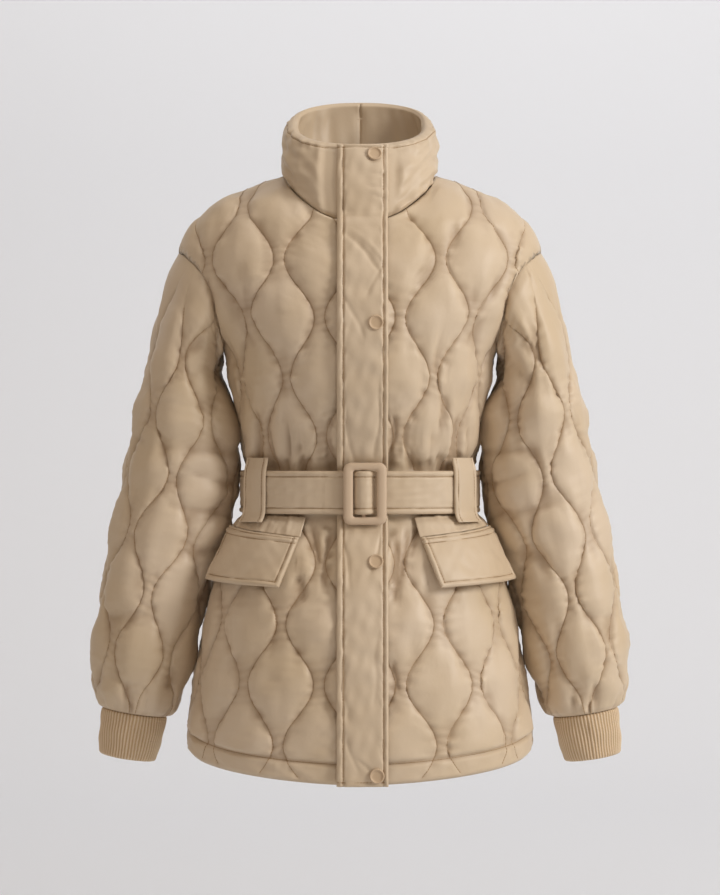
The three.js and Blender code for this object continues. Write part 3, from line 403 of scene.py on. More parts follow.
def half_panel(side, folds, seed):
    """Outer and inner grids of one half of a panel, from the centre to the side."""
    rows = row_at[:, None] + 0 * column_t[None, :]
    z = -300.0 + 0 * rows
    for _ in range(12):
        f, gap = column_cloth(z)
        f = np.clip(f, 0, QUARTER)
        hem, top = hem_height(side, f), top_height(side, f)
        marks = [(0, hem), (3, hem + 31), (14, -377 + 0 * f), (15, -366.5 + 0 * f),
                 (18, -317.5 + 0 * f), (19, -308 + 0 * f), (25, UNDERARM + 0 * f), (32, top)]
        z = hem + 0
        for (r0, z0), (r1, z1) in zip(marks[:-1], marks[1:]):
            z = np.where(rows > r0, mix(z0, z1, np.clip((rows - r0) / (r1 - r0), 0, 1)), z)
    s = place_across(side, f, z)
    u_neck = u_at_x(side, 84 * f / NECK_CLOTH[side], top)
    s_neck = u_neck * quarter_length(side, top) if side == "front" else f
    s = mix(s, np.where(f <= NECK_CLOTH[side], s_neck, f), ease((rows - 29) / 3))
    limit = reach(side, z)
    cut = (rows > 25) & (z < SHOULDER_TIP) & (limit - s < 1.0)
    cut = np.maximum.accumulate(cut, axis=1) & (rows > 25) & (rows < 32)
    z = np.where(cut, z[:, -1:], z)
    limit = reach(side, z)
    s = np.where(cut | (s > limit), limit, s)
    s[:, -1] = limit[:, -1]
    s = np.minimum(s, limit - SEAM_GAP)
    s = np.maximum(s, 0.3 if side == "front" else 0)
    u = s / quarter_length(side, z)
    base, normal = crown(side, u, z), outward(side, u, z)
    doubled = (column_j < 0) | (column_j >= LINES - 1)
    wide = np.where(doubled, 2 * gap, gap)
    t = np.where(column_j < 0, 0.5 + column_t / 2, np.where(doubled, column_t / 2, column_t))
    t = np.where(column_j >= LINES, 0.5, t)
    fullness = np.clip(wide / (SPACING + 2 * WAVE), 0, 1) ** 0.85
    thick = GROOVE + (WALL - GROOVE) * fullness * puff_shape(t)
    from_line = np.minimum(t, 1 - t) * wide
    thick = thick + puckers(from_line, f, z, seed) * (0.4 + fullness)
    narrow = np.exp(-(gap / 24) ** 2)
    thick = thick + 0.7 * narrow * np.sin(z * 2 * math.pi / 8.5 + 0.15 * f + ripples(f, z, seed + 1, 40))
    drape = 0.8 * ripples(f, z, seed + 2, 46) + 0.9 * ripples(f, 0.3 * z, seed + 3, 20)
    thick = thick + (drape + 0.25 * ripples(f, z, seed + 7, 9)) * fullness
    beside = np.exp(-((f - 36) / 7) ** 2) * (side == "front")
    waist = np.exp(-((z + 290) / 40) ** 2) + np.exp(-((z + 400) / 60) ** 2)
    thick = thick + beside * (0.5 + 1.3 * waist) * ripples(0.6 * f, z, seed + 8, 11)
    gathers = ease((z + 300) / -12) * ease((-372 - z) / -10) + 0.7 * np.exp(-((z + 306) / 22) ** 2)
    gathers = gathers + 0.5 * np.exp(-((z + 380) / 16) ** 2)
    thick = thick - gathers * (0.8 + 0.7 * ripples(f, 0.12 * z, seed + 4, 13))
    thick = thick - fold_depth(folds, base[..., 0], z)
    hem_line = np.exp(-((z - hem - HEM_STITCH) / 2.2) ** 2)
    below = z < hem + HEM_STITCH
    thick = np.where(below, mix(thick, 6.4 + 0.5 * ripples(f, z, seed + 5, 13), 0.75), thick)
    thick = mix(thick, 2.6, hem_line * 0.9)
    thick = np.where(z - hem < 3, np.minimum(thick, 3.6 + 0.9 * (z - hem)), thick)
    armhole = base[row_at >= 25][:, -1]
    near = np.sqrt(((base[:, :, None] - armhole) ** 2).sum(-1)).min(-1)
    edge = np.minimum(np.where(z < UNDERARM + 20, np.minimum(limit - s, near), near),
                      np.maximum(top - z, 0) * 1.3 + 40 * (rows < 28))
    seam = ease(edge / 12) ** 0.7
    tucks = 0.9 * ripples(z + 0.4 * f, 0.3 * f, seed + 6, 12) * np.exp(-(edge / 10) ** 2)
    shallow = ease((z + 128) / 44)
    wall = mix(mix(SEAM_WALL, 8.2, shallow), 7.8, ease((UNDERARM - z) / 12))
    thick = mix(wall, thick, seam) + tucks * ease(edge / 2) * (1 - 0.6 * shallow)
    thick = mix(thick, np.minimum(thick, 9.6), shallow)
    thick = mix(thick, 9.0, ease((z + 150) / 40) * ease((f - 190) / 30) * ease(edge / 9))
    thick = np.clip(thick, 1.6, WALL + 2.2)
    outer = base + normal * (thick - WALL)[..., None]
    inner = base - normal * WALL
    # How far the shell sinks below a full puff, which the cloth shader turns into painted shade
    hollow = np.clip((WALL - thick) / WALL, 0, 1)
    return {"outer": outer, "inner": inner, "f": f, "z": z, "hollow": hollow, "rows": rows, "cut": cut}


def mirrored(points):
    return points * np.array([-1.0, 1, 1])


def make_piece(name, outer, inner, material, closed=False, flip=False, hollow=None, cloth=None):
    """A closed piece from an outer and an inner grid of points in millimetres."""
    rows, cols = outer.shape[:2]
    ids = np.arange(rows * cols).reshape(rows, cols)
    if closed:
        ids = np.concatenate([ids, ids[:, :1]], 1)
    a, b, c, d = ids[:-1, :-1], ids[:-1, 1:], ids[1:, 1:], ids[1:, :-1]
    quads = np.stack([a, b, c, d], -1).reshape(-1, 4)
    count = rows * cols
    sides = [(ids[0], False), (ids[-1], True)]
    if not closed:
        sides += [(ids[:, -1], False), (ids[:, 0], True)]
    rims = []
    for line, turned in sides:
        rim = np.stack([line[1:], line[:-1], line[:-1] + count, line[1:] + count], -1)
        rims.append(rim[:, ::-1] if turned else rim)
    faces = np.concatenate([quads, quads[:, ::-1] + count] + rims)
    if flip:
        faces = faces[:, ::-1]
    points = np.concatenate([outer.reshape(-1, 3), inner.reshape(-1, 3)]) * MM
    mesh = bpy.data.meshes.new(name)
    mesh.from_pydata(points.tolist(), [], faces.tolist())
    # hollow: how much painted shade each outer point gets, none on the inner face
    depth = mesh.attributes.new("hollow", "FLOAT", "POINT")
    shade = np.zeros(2 * count) if hollow is None else np.concatenate([hollow.ravel(), np.zeros(count)])
    depth.data.foreach_set("value", shade.astype(np.float32))
    along = mesh.attributes.new("cloth", "FLOAT_VECTOR", "POINT")
    if cloth is None:
        cloth = points[:count] / MM
    flat = np.concatenate([cloth.reshape(-1, 3), cloth.reshape(-1, 3)]).astype(np.float32)
    along.data.foreach_set("vector", flat.ravel())
    work = bmesh.new()
    work.from_mesh(mesh)
    bmesh.ops.remove_doubles(work, verts=work.verts, dist=0.00002)
    bmesh.ops.dissolve_degenerate(work, edges=work.edges, dist=0.00002)
    work.to_mesh(mesh)
    work.free()
    for polygon in mesh.polygons:
        polygon.use_smooth = True
    mesh.materials.append(material)
    piece = bpy.data.objects.new(name, mesh)
    bpy.context.collection.objects.link(piece)
    return piece


def woven_cloth(name, light, middle, dark, roughness):
    """Plain-weave polyester with a peached face: matt with a faint satin sheen on the crowns."""
    material, tree = new_material(name)
    place = add_node(tree, "ShaderNodeTexCoord").outputs["Object"]
    cloth = add_node(tree, "ShaderNodeAttribute", {"attribute_name": "cloth"}).outputs["Vector"]
    depth = add_node(tree, "ShaderNodeAttribute", {"attribute_name": "hollow"}).outputs["Fac"]
    cloud = add_node(tree, "ShaderNodeTexNoise", values={"Scale": 9.0, "Detail": 3.0},
                     links={"Vector": place})
    tone = add_node(tree, "ShaderNodeMapRange", values={"From Min": 0.35, "From Max": 0.65},
                    links={"Value": cloud.outputs["Fac"]})
    base = add_node(tree, "ShaderNodeMix", {"data_type": "RGBA"},
                    links={"Factor": tone.outputs["Result"]})
    base.inputs["A"].default_value = linear(middle)
    base.inputs["B"].default_value = linear(light)
    # Painted shade: the dark colour is mixed in where the hollow attribute says the surface sinks, in
    # quilting grooves, folds and stitch lines.
    sunk = add_node(tree, "ShaderNodeMapRange", values={"From Min": 0.35, "From Max": 0.85, "To Max": 0.55},
                    links={"Value": depth})
    groove_shaded = add_node(tree, "ShaderNodeMix", {"data_type": "RGBA"}, links={"Factor": sunk.outputs["Result"]})
    tree.links.new(base.outputs["Result"], groove_shaded.inputs["A"])
    groove_shaded.inputs["B"].default_value = linear(dark)
    # Yarns are 0.3 mm apart, too fine to show: both sets are drawn 1.2 mm apart
    yarns = add_node(tree, "ShaderNodeTexWave", {"bands_direction": "X"},
                     {"Scale": 0.26, "Distortion": 1.2, "Detail": 2.0}, {"Vector": cloth})
    picks = add_node(tree, "ShaderNodeTexWave", {"bands_direction": "Y"},
                     {"Scale": 0.26, "Distortion": 1.2, "Detail": 2.0}, {"Vector": cloth})
    weave = add_node(tree, "ShaderNodeMath", {"operation": "ADD"})
    tree.links.new(yarns.outputs["Fac"], weave.inputs[0])
    tree.links.new(picks.outputs["Fac"], weave.inputs[1])
    crumple = add_node(tree, "ShaderNodeTexNoise", values={"Scale": 160.0, "Detail": 4.0},
                       links={"Vector": place})
    fine = add_node(tree, "ShaderNodeBump", values={"Strength": 0.06, "Distance": 0.0004},
                    links={"Height": weave.outputs["Value"]})
    bump = add_node(tree, "ShaderNodeBump", values={"Strength": 0.16, "Distance": 0.0012},
                    links={"Height": crumple.outputs["Fac"], "Normal": fine.outputs["Normal"]})
    coat = add_node(tree, "ShaderNodeBsdfPrincipled", values={
        "Roughness": roughness, "IOR": 1.5, "Sheen Weight": 0.3, "Sheen Roughness": 0.4},
        links={"Base Color": groove_shaded.outputs["Result"], "Normal": bump.outputs["Normal"]})
    coat.inputs["Sheen Tint"].default_value = linear("#EFE6D6")
    add_node(tree, "ShaderNodeOutputMaterial", links={"Surface": coat.outputs["BSDF"]})
    return material


shell_cloth = woven_cloth("polyester_shell_cloth", CLOTH_LIGHT, CLOTH_MIDDLE, CLOTH_GROOVE_SHADE, 0.5)
left_half = half_panel("front", FOLDS_LEFT, 11)
right_half = half_panel("front", FOLDS_RIGHT, 23)
back_left = half_panel("back", FOLDS_BACK, 37)
back_right = half_panel("back", FOLDS_BACK[::-1][2:] + FOLDS_BACK[:3], 53)


def cloth_map(half):
    return np.stack([half["f"], half["z"], 0 * half["z"]], -1)


def join_halves(left, right, key):
    return np.concatenate([mirrored(right[key])[:, :0:-1], left[key]], 1)


front_left = make_piece("quilted_front_left", left_half["outer"], left_half["inner"], shell_cloth,
                        hollow=left_half["hollow"], cloth=cloth_map(left_half))
front_right = make_piece("quilted_front_right", mirrored(right_half["outer"])[:, ::-1],
                         mirrored(right_half["inner"])[:, ::-1], shell_cloth,
                         hollow=right_half["hollow"][:, ::-1], cloth=cloth_map(right_half)[:, ::-1])
back_map = np.concatenate([cloth_map(back_right)[:, :0:-1] * [-1, 1, 1], cloth_map(back_left)], 1)
back_hollow = np.concatenate([back_right["hollow"][:, :0:-1], back_left["hollow"]], 1)
for half in (back_left, back_right):
    half["outer"][:, 0, 0] = 0
    half["inner"][:, 0, 0] = 0
back_left["outer"][:, 0] = (back_left["outer"][:, 0] + back_right["outer"][:, 0]) / 2
back = make_piece("quilted_back", join_halves(back_left, back_right, "outer"),
                  join_halves(back_left, back_right, "inner"), shell_cloth, flip=True,
                  hollow=back_hollow, cloth=back_map)
for piece, node in ((front_left, "front_left"), (front_right, "front_right"), (back, "back")):
    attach(piece, "root")
    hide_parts(node)

# Sleeves
# Drop-shoulder sleeves of the same quilted shell, set into the armholes and gathered at the
# lower end into the rib cuffs. Ten quilting lines run down each, in the same waves.

# Outer x and z, inner x and z of each section, and its half depth
SLEEVE = [
    (200.5, -80, 157.5, -180, 70), (214, -108, 155.5, -189, 72), (226, -152, 152.5, -202, 74),
    (238, -208, 148, -228, 74), (248, -245, 142.5, -264, 72), (256.5, -289, 140.5, -312, 68),
    (266.5, -342, 148.5, -365, 66), (278, -392, 160.5, -415, 66), (285.5, -436, 170.5, -459, 66),
    (291, -476, 179, -499, 65), (297, -520, 186, -541, 62), (298, -550, 192.5, -565, 55),
    (294.7, -563.6, 197, -579.8, 50), (291.5, -573, 202.4, -587.2, 45.5),
    (284.5, -577.6, 211, -589.4, 37.5),
]
SLEEVE_LINES = 10
SLEEVE_WAVE = 0.36
SLEEVE_WAVE_START = 66
SLEEVE_WAVE_LENGTH = 130
SLEEVE_ROUND = 400
GATHERS_FROM = 428
CUFF_WALL = 3.4

sleeve_rows = [(i, *row) for i, row in enumerate(SLEEVE)]
sleeve_curves = [smooth_column(sleeve_rows, c) for c in range(1, 6)]
sleeve_at = np.concatenate([np.linspace(0, 11, 186), np.linspace(11, 14, 31)[1:]])


def sleeve_sections(i):
    xo, zo, xi, zi, ry = [curve(i) for curve in sleeve_curves]
    centre = np.stack([(xo + xi) / 2, 0 * xo, (zo + zi) / 2], -1)
    side = np.stack([xo - xi, 0 * xo, zo - zi], -1)
    return centre, np.linalg.norm(side, axis=-1) / 2, ry, unit(side)


def sleeve_line(j, run):
    swing = np.cos(2 * math.pi * (run - SLEEVE_WAVE_START) / SLEEVE_WAVE_LENGTH)
    return (j + 0.5 - np.where(j % 2 == 0, 1, -1) * SLEEVE_WAVE * swing) / SLEEVE_LINES


# Folds of the sleeves: turn and distance down the sleeve of both ends, half width and depth
FOLDS_SLEEVE = [
    (0.72, 150, 0.99, 172, 6, 3.4), (0.70, 196, 0.96, 190, 6, 3.6), (0.76, 232, 1.02, 226, 6, 2.6),
    (0.68, 262, 0.93, 276, 6, 3.2), (0.74, 318, 0.90, 330, 5, 2.4), (0.10, 168, 0.26, 160, 6, 1.6),
    (0.02, 352, 0.16, 366, 6, 1.8), (0.86, 60, 0.98, 96, 7, 3.0), (0.93, 40, 1.03, 84, 7, 2.2),
    (0.56, 170, 0.76, 186, 6, 3.2), (0.52, 222, 0.72, 214, 6, 3.2), (0.55, 292, 0.70, 304, 6, 2.2),
    (0.03, 468, 0.02, 420, 3.5, 4.6), (0.95, 470, 0.955, 428, 3.5, 4.2), (0.21, 470, 0.20, 436, 4, 4.0),
    (0.12, 470, 0.13, 444, 3, 3.0), (0.86, 470, 0.87, 438, 3, 3.2),
]


def sleeve_folds(turn, run):
    total = 0 * turn
    for t0, r0, t1, r1, width, depth in FOLDS_SLEEVE:
        for shift in (-1, 0, 1):
            x, z = (turn + shift) * SLEEVE_ROUND, run
            x0, x1 = t0 * SLEEVE_ROUND, t1 * SLEEVE_ROUND
            length = math.hypot(x1 - x0, r1 - r0)
            ux, uz = (x1 - x0) / length, (r1 - r0) / length
            along = (x - x0) * ux + (z - r0) * uz
            aside = (x - x0) * uz - (z - r0) * ux + 2 * np.sin(along / 14 + x0)
            taper = ease((along + 3) / 14) * ease((length + 3 - along) / 22)
            total = total + depth * taper * np.exp(-np.abs(aside / width) ** 1.5)
    return total


def make_sleeve(name, front_half, back_half, seed):
    above = row_at >= 25
    front_edge = [front_half[key][above][:, -1] for key in ("outer", "inner")]
    back_edge = [back_half[key][above][:, -1] for key in ("outer", "inner")]
    centre, rx, ry, side = sleeve_sections(sleeve_at)
    run = np.concatenate([[0], np.cumsum(np.linalg.norm(np.diff(centre, axis=0), axis=1))])
    line = np.repeat(np.arange(SLEEVE_LINES), len(GAP_AT))
    part = np.tile(np.array(GAP_AT), SLEEVE_LINES)
    start = sleeve_line(line[None], run[:, None])
    end = sleeve_line(line[None] + 1, run[:, None])
    turn = mix(start, end, part)
    gap = (end - start) * SLEEVE_LINES
    r = run[:, None] + 0 * turn
    flat = turn * SLEEVE_ROUND
    fullness = np.clip(gap / (1 + 2 * SLEEVE_WAVE), 0, 1) ** 0.85
    thick = GROOVE + (WALL - GROOVE) * fullness * puff_shape(part[None])
    from_line = np.minimum(part, 1 - part)[None] * gap * SPACING
    thick = thick + 1.1 * puckers(from_line, flat, r, seed) * (0.4 + fullness)
    thick = thick + 0.6 * np.exp(-(gap / 0.6) ** 2) * np.sin(r * 2 * math.pi / 8.5 + 0.2 * flat)
    thick = thick + ripples(flat, r, seed + 1, 50) + 0.8 * ripples(flat, 0.35 * r, seed + 2, 22)
    thick = thick + 0.25 * ripples(flat, r, seed + 7, 9)
    thick = thick - sleeve_folds(turn % 1, r)
    gathered = ease((r - GATHERS_FROM) / 34)
    pleats = ripples(flat, 0.1 * r, seed + 3, 15) + 0.5 * ripples(flat, 0.1 * r, seed + 4, 9)
    thick = mix(thick, 6.2 + 2.6 * pleats, 0.85 * gathered) - 0.4 * gathered * sleeve_folds(turn % 1, r)
    tucks = 1.1 * ripples(flat, 0.3 * r, seed + 5, 13) * np.exp(-((r - 6) / 9) ** 2)
    shallow = ease((mix(-80, -180, 0.5 - 0.5 * np.sin(turn * 2 * math.pi)) + 128) / 44)
    tucks = tucks * (1 - 0.6 * shallow)
    cap = 0.8 * (1 - ease((r - 6) / 42)) * ease(0.75 + 0.75 * np.sin(turn * 2 * math.pi))
    thick = mix(thick, 9.0, cap)
    thick = mix(mix(SEAM_WALL, 8.2, shallow), thick, ease(r / 13) ** 0.7) + tucks * ease(r / 2)
    inside = np.clip(-np.sin(turn * 2 * math.pi), 0, 1) ** 2
    swell = inside * ease((r - 70) / 50) * (5.5 * ease((430 - r) / 60) + 7.5 * ease((300 - r) / 60))
    end_rows = ease((sleeve_at - 13) / 1.0)[:, None]
    thick = mix(thick, 5.5, end_rows)
    thick = np.clip(thick, 1.6, WALL + 2.5) + swell
    wall = mix(WALL, CUFF_WALL + 3, ease((sleeve_at - 13) / 1.0))[:, None]
    angle = turn * 2 * math.pi
    faces = []
    for k, raised in ((0, thick), (1, 0 * thick)):
        inward = raised - wall
        sine, cosine = np.sin(angle)[..., None], np.cos(angle)
        place = centre[:, None] + side[:, None] * sine * (rx[:, None] + inward)[..., None]
        place[..., 1] -= cosine * (ry[:, None] + inward)
        ring = np.concatenate([front_edge[k], back_edge[k][::-1]])
        away = ring - centre[0]
        ring_turn = np.arctan2(away @ side[0] / rx[0], -ring[:, 1] / ry[0]) / (2 * math.pi) % 1
        order = np.argsort(ring_turn)
        seam = np.stack([np.interp(turn[0] % 1, ring_turn[order], ring[order, axis], period=1)
                         for axis in range(3)], -1)
        seam = seam + np.array([0.47, 0, -0.175])
        shift = seam - place[0]
        left = 1 - ease(run / 75)
        faces.append(place + shift[None] * left[:, None, None])
    cloth = np.stack([flat, -r, 0 * r], -1)
    # How far the sleeve sinks below a full puff, which the cloth shader turns into painted shade
    hollow = np.clip((WALL - thick + swell) / WALL, 0, 1)
    return faces[0], faces[1], hollow, cloth


sleeve_parts = {
    "left": make_sleeve("left", left_half, back_left, 71),
    "right": make_sleeve("right", right_half, back_right, 97),
}
for name, (outer, inner, hollow, cloth) in sleeve_parts.items():
    if name == "right":
        outer, inner = mirrored(outer), mirrored(inner)
    sleeve = make_piece("quilted_sleeve_" + name, outer, inner, shell_cloth, closed=True,
                        flip=name == "left", hollow=hollow, cloth=cloth)
    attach(sleeve, "root")
    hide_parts("sleeve_" + name)

# Cuffs
# One-by-one rib knit, a tube of doubled cloth sewn to the gathered end of each sleeve.

CUFF_TOP = (247.9, -584.2, 36.3)
CUFF_BOTTOM = (256, -633.6, 31.4)
CUFF_RIBS = 60
RIB_DEPTH = 0.9


def rib_knit():
    """Cotton-blend one-by-one rib: rows of small V stitches on the wales, fully matt and soft."""
    material, tree = new_material("rib_knit_cotton")
    cloth = add_node(tree, "ShaderNodeAttribute", {"attribute_name": "cloth"}).outputs["Vector"]
    depth = add_node(tree, "ShaderNodeAttribute", {"attribute_name": "hollow"}).outputs["Fac"]
    # Painted shade: the darker colour fills the hollows between the ribs
    base = add_node(tree, "ShaderNodeMix", {"data_type": "RGBA"}, links={"Factor": depth})
    base.inputs["A"].default_value = linear("#E0CBAE")
    base.inputs["B"].default_value = linear("#C0A27C")
    # Stitches are 1.6 mm high
    stitches = add_node(tree, "ShaderNodeTexWave", {"bands_direction": "Y"},
                        {"Scale": 0.19, "Distortion": 1.6, "Detail": 1.0}, {"Vector": cloth})
    fuzz = add_node(tree, "ShaderNodeTexNoise", values={"Scale": 2.4, "Detail": 3.0},
                    links={"Vector": cloth})
    rough = add_node(tree, "ShaderNodeBump", values={"Strength": 0.25, "Distance": 0.0004},
                     links={"Height": fuzz.outputs["Fac"]})
    bump = add_node(tree, "ShaderNodeBump", values={"Strength": 0.5, "Distance": 0.0006},
                    links={"Height": stitches.outputs["Fac"], "Normal": rough.outputs["Normal"]})
    coat = add_node(tree, "ShaderNodeBsdfPrincipled", values={
        "Roughness": 0.9, "Sheen Weight": 0.35, "Sheen Roughness": 0.6},
        links={"Base Color": base.outputs["Result"], "Normal": bump.outputs["Normal"]})
    coat.inputs["Sheen Tint"].default_value = linear("#E4D2B4")
    add_node(tree, "ShaderNodeOutputMaterial", links={"Surface": coat.outputs["BSDF"]})
    return material


knit = rib_knit()
cuff_t = np.linspace(0, 1, 29)[:, None]
cuff_turn = np.arange(CUFF_RIBS * 8)[None] / (CUFF_RIBS * 8)
rib_phase = cuff_turn * CUFF_RIBS * 2 * math.pi + 0.35 * np.sin(cuff_t * 7 + cuff_turn * 40)
rib_shape = np.clip(0.5 + 0.72 * np.cos(rib_phase), 0, 1)
cuff_radius = mix(CUFF_TOP[2], CUFF_BOTTOM[2], cuff_t) + 1.2 * np.sin(math.pi * cuff_t)
cuff_edge = np.minimum(ease(cuff_t / 0.045), ease((1 - cuff_t) / 0.045))
cuff_axis = unit(np.array([CUFF_BOTTOM[0] - CUFF_TOP[0], 0, CUFF_BOTTOM[1] - CUFF_TOP[1]]))
cuff_side = np.array([-cuff_axis[2], 0, cuff_axis[0]])
cuff_centre = np.stack([mix(CUFF_TOP[0], CUFF_BOTTOM[0], cuff_t), 0 * cuff_t,
                        mix(CUFF_TOP[1], CUFF_BOTTOM[1], cuff_t)], -1)


def cuff_face(radius):
    points = cuff_centre + cuff_side * (np.sin(cuff_turn * 2 * math.pi) * radius)[..., None]
    points[..., 1] -= np.cos(cuff_turn * 2 * math.pi) * radius
    return points


cuff_outer = cuff_face(cuff_radius - RIB_DEPTH * (1 - rib_shape) - 1.2 * (1 - cuff_edge)
                       + 0.5 * ripples(cuff_turn * 213, cuff_t * 50, 5, 30))
cuff_inner = cuff_face(cuff_radius - CUFF_WALL + 0.8 * (1 - cuff_edge) * 0 + 0 * cuff_turn)
cuff_cloth = np.stack([cuff_turn * 213 + 0 * cuff_t, cuff_t * 50 + 0 * cuff_turn,
                       0 * (cuff_t + cuff_turn)], -1)
for name in ("left", "right"):
    sign = np.array([1.0, 1, 1]) if name == "left" else np.array([-1.0, 1, 1])
    # hollow marks the grooves between the ribs, where the knit shader paints shade
    cuff = make_piece("rib_cuff_" + name, cuff_outer * sign, cuff_inner * sign, knit, closed=True,
                      flip=name == "left", hollow=1 - rib_shape + 0 * cuff_t, cloth=cuff_cloth)
    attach(cuff, "root")
    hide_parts("cuff_" + name)

# Collar
# A stand-up funnel of the plain shell cloth over the same padding, open round the neck. It ends
# under the placket at the front, and the lining side shows a seam at the centre back.

COLLAR_HALF = 78.5
COLLAR_DEPTH = {"front": 77, "back": 75}
COLLAR_MIDDLE = 62.5
COLLAR_TILT = 0.404
COLLAR_SUPER = 2.5
COLLAR_WALL = 12
COLLAR_BULGE = 5
COLLAR_LIFT = 0.7

front_neck = left_half["outer"][-1][left_half["f"][-1] <= NECK_CLOTH["front"]]
back_neck = back_left["outer"][-1][back_left["f"][-1] <= NECK_CLOTH["back"]]
neck_seam = np.concatenate([front_neck, back_neck[::-1]])
neck_seam[0, 0] = 0.3
neck_run = np.concatenate([[0], np.cumsum(np.linalg.norm(np.diff(neck_seam, axis=0), axis=1))])
collar_turn = np.linspace(-1, 1, 241)


def collar_face(w, inset):
    t = np.abs(collar_turn)[None] + 0 * w
    base = np.stack([np.interp(t * neck_run[-1], neck_run, neck_seam[:, a]) for a in range(3)], -1)
    angle = t * math.pi
    square = 2 / COLLAR_SUPER
    cosine = np.sign(np.cos(angle)) * np.abs(np.cos(angle)) ** square
    y = -cosine * np.where(t < 0.5, COLLAR_DEPTH["front"], COLLAR_DEPTH["back"])
    top = np.stack([np.sin(angle) ** square * COLLAR_HALF, y, COLLAR_MIDDLE + COLLAR_TILT * y], -1)
    away = unit(top * np.array([1.0, 1, 0]))
    place = mix(base, top, w[..., None])
    bulge = COLLAR_BULGE * np.sin(math.pi * np.minimum(w, 1)) - inset
    place = place + away * bulge[..., None]
    place[..., 2] += COLLAR_LIFT
    place[..., 0] = np.where(t == 0, 0.3, np.maximum(place[..., 0], 0))
    place[..., 0] *= np.where(collar_turn < 0, -1, 1)[None]
    return place


collar_w = np.concatenate([np.linspace(0, 0.1, 10), np.linspace(0.1, 0.9, 44)[1:],
                           np.linspace(0.9, 1, 12)[1:]])[:, None]
flat_x, flat_z = collar_turn[None] * neck_run[-1], collar_w * 95
top_round = 5.0 * np.clip((collar_w - 0.93) / 0.07, 0, 1) ** 2
foot = 2.6 * (1 - ease(collar_w / 0.075))
soft = 1.5 * ripples(0.5 * flat_x, flat_z, 131, 34) + 0.7 * ripples(0.6 * flat_x, flat_z, 137, 15)
foot_tucks = 1.5 * ripples(flat_x, 0.2 * flat_z, 139, 17) * np.exp(-(flat_z / 15) ** 2)
top_tucks = 1.2 * ripples(flat_x, 0.25 * flat_z, 149, 15) * np.exp(-((95 - flat_z) / 13) ** 2)
edge_line = 1.2 * np.exp(-((flat_z - 87.5) / 1.8) ** 2)
collar_relief = soft * ease(flat_z / 12) * ease((98 - flat_z) / 10) + foot_tucks * ease(flat_z / 3)
collar_relief = collar_relief + top_tucks * ease((96 - flat_z) / 4)
under_placket = 1 - ease((np.abs(flat_x) - 36) / 8)
collar_inset = top_round + foot + edge_line - 0.9 - collar_relief * (1 - under_placket)
collar_outer = collar_face(collar_w + 0 * flat_x, collar_inset + 2.6 * under_placket)
inner_soft = 1.2 * ripples(flat_x, 0.5 * flat_z, 151, 30)
back_seam = 1.6 * np.exp(-((np.abs(flat_x) - neck_run[-1]) / 3.0) ** 2)
inner_inset = COLLAR_WALL - 3.5 * (1 - ease(collar_w / 0.2)) - 3.2 * ease((collar_w - 0.93) / 0.07) ** 2
collar_inner = collar_face(collar_w + 0 * flat_x, inner_inset - inner_soft * ease(flat_z / 20)
                           * ease((95 - flat_z) / 20) - back_seam * ease((90 - flat_z) / 12))
plain_cloth = woven_cloth("polyester_plain_cloth", "#CFBCA2", "#C8B396", CLOTH_GROOVE_SHADE, 0.5)
# hollow paints shade on the collar where its relief sinks into folds and tucks
collar = make_piece("funnel_collar", collar_outer, collar_inner, plain_cloth, flip=False,
                    hollow=np.clip((1.0 - collar_relief) / 6, 0, 1) * 0.6,
                    cloth=np.stack([flat_x + 0 * flat_z, flat_z + 0 * flat_x, 0 * flat_x * flat_z], -1))
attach(collar, "root")
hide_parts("collar")

# Placket
# A strip of plain cloth, doubled over and closed with snaps, that runs from the hem to the top of
# the collar over the meeting fronts. Stitched 7 mm in at its outer edge and 5 mm in at the other.

PLACKET_LEFT = -24.4
PLACKET_RIGHT = 29.6
PLACKET_THICK = 3.2
PLACKET_TOP = 31
PLACKET_OFF = 0.7
PLACKET_STITCH_LEFT = 7
PLACKET_STITCH_RIGHT = 5
COLLAR_FOOT = -50
COLLAR_FRONT_TOP = 26.9


def front_surface(x, z):
    on_collar = ease((z + 58) / 16)
    rise = np.clip((z - COLLAR_FOOT) / (COLLAR_FRONT_TOP - COLLAR_FOOT), 0, 1)
    collar_y = mix(96.8, COLLAR_DEPTH["front"] + 1, rise) + COLLAR_BULGE * np.sin(math.pi * rise)
    low = np.minimum(z, COLLAR_FOOT)
    y = mix(body_depth["front"](low), collar_y, on_collar)
    half = mix(half_width(low), 84, on_collar)
    return -y * (1 - (np.abs(x) / half) ** SUPER) ** (1 / SUPER)


def front_point(x, z, off):
    dx = np.stack([2 + 0 * x, front_surface(x + 1, z) - front_surface(x - 1, z), 0 * x], -1)
    dz = np.stack([0 * x, front_surface(x, z + 2) - front_surface(x, z - 2), 4 + 0 * x], -1)
    normal = unit(np.cross(dx, dz))
    return np.stack([x, front_surface(x, z), z], -1) + normal * np.asarray(off)[..., None]


# x and height of both ends, half width and depth; below zero for a ridge
FOLDS_PLACKET = [
    (-20, -62, 18, -104, 3.2, 1.7), (-14, -58, 24, -96, 2.6, -1.0), (4, -14, 28, -18, 2.4, 1.4),
    (8, -26, 29, -30, 2.2, 1.2), (6, -2, 26, -6, 2.0, 1.0), (-22, -120, 2, -176, 4, 1.2),
    (26, -92, 10, -132, 3, 1.1), (-18, -236, -8, -306, 4, 1.3), (22, -214, 16, -300, 4, 1.2),
    (-12, -616, 22, -640, 2.6, 1.5), (-16, -590, -4, -628, 3, 1.0), (24, -380, 12, -424, 3.5, 1.5),
    (-20, -384, -10, -440, 3.5, 1.4), (20, -470, 14, -560, 5, 1.0), (-18, -500, -14, -580, 5, 1.0),
]
placket_x = np.concatenate([np.linspace(0, 0.2, 14), np.linspace(0.2, 0.8, 20)[1:],
                            np.linspace(0.8, 1, 14)[1:]])[None]
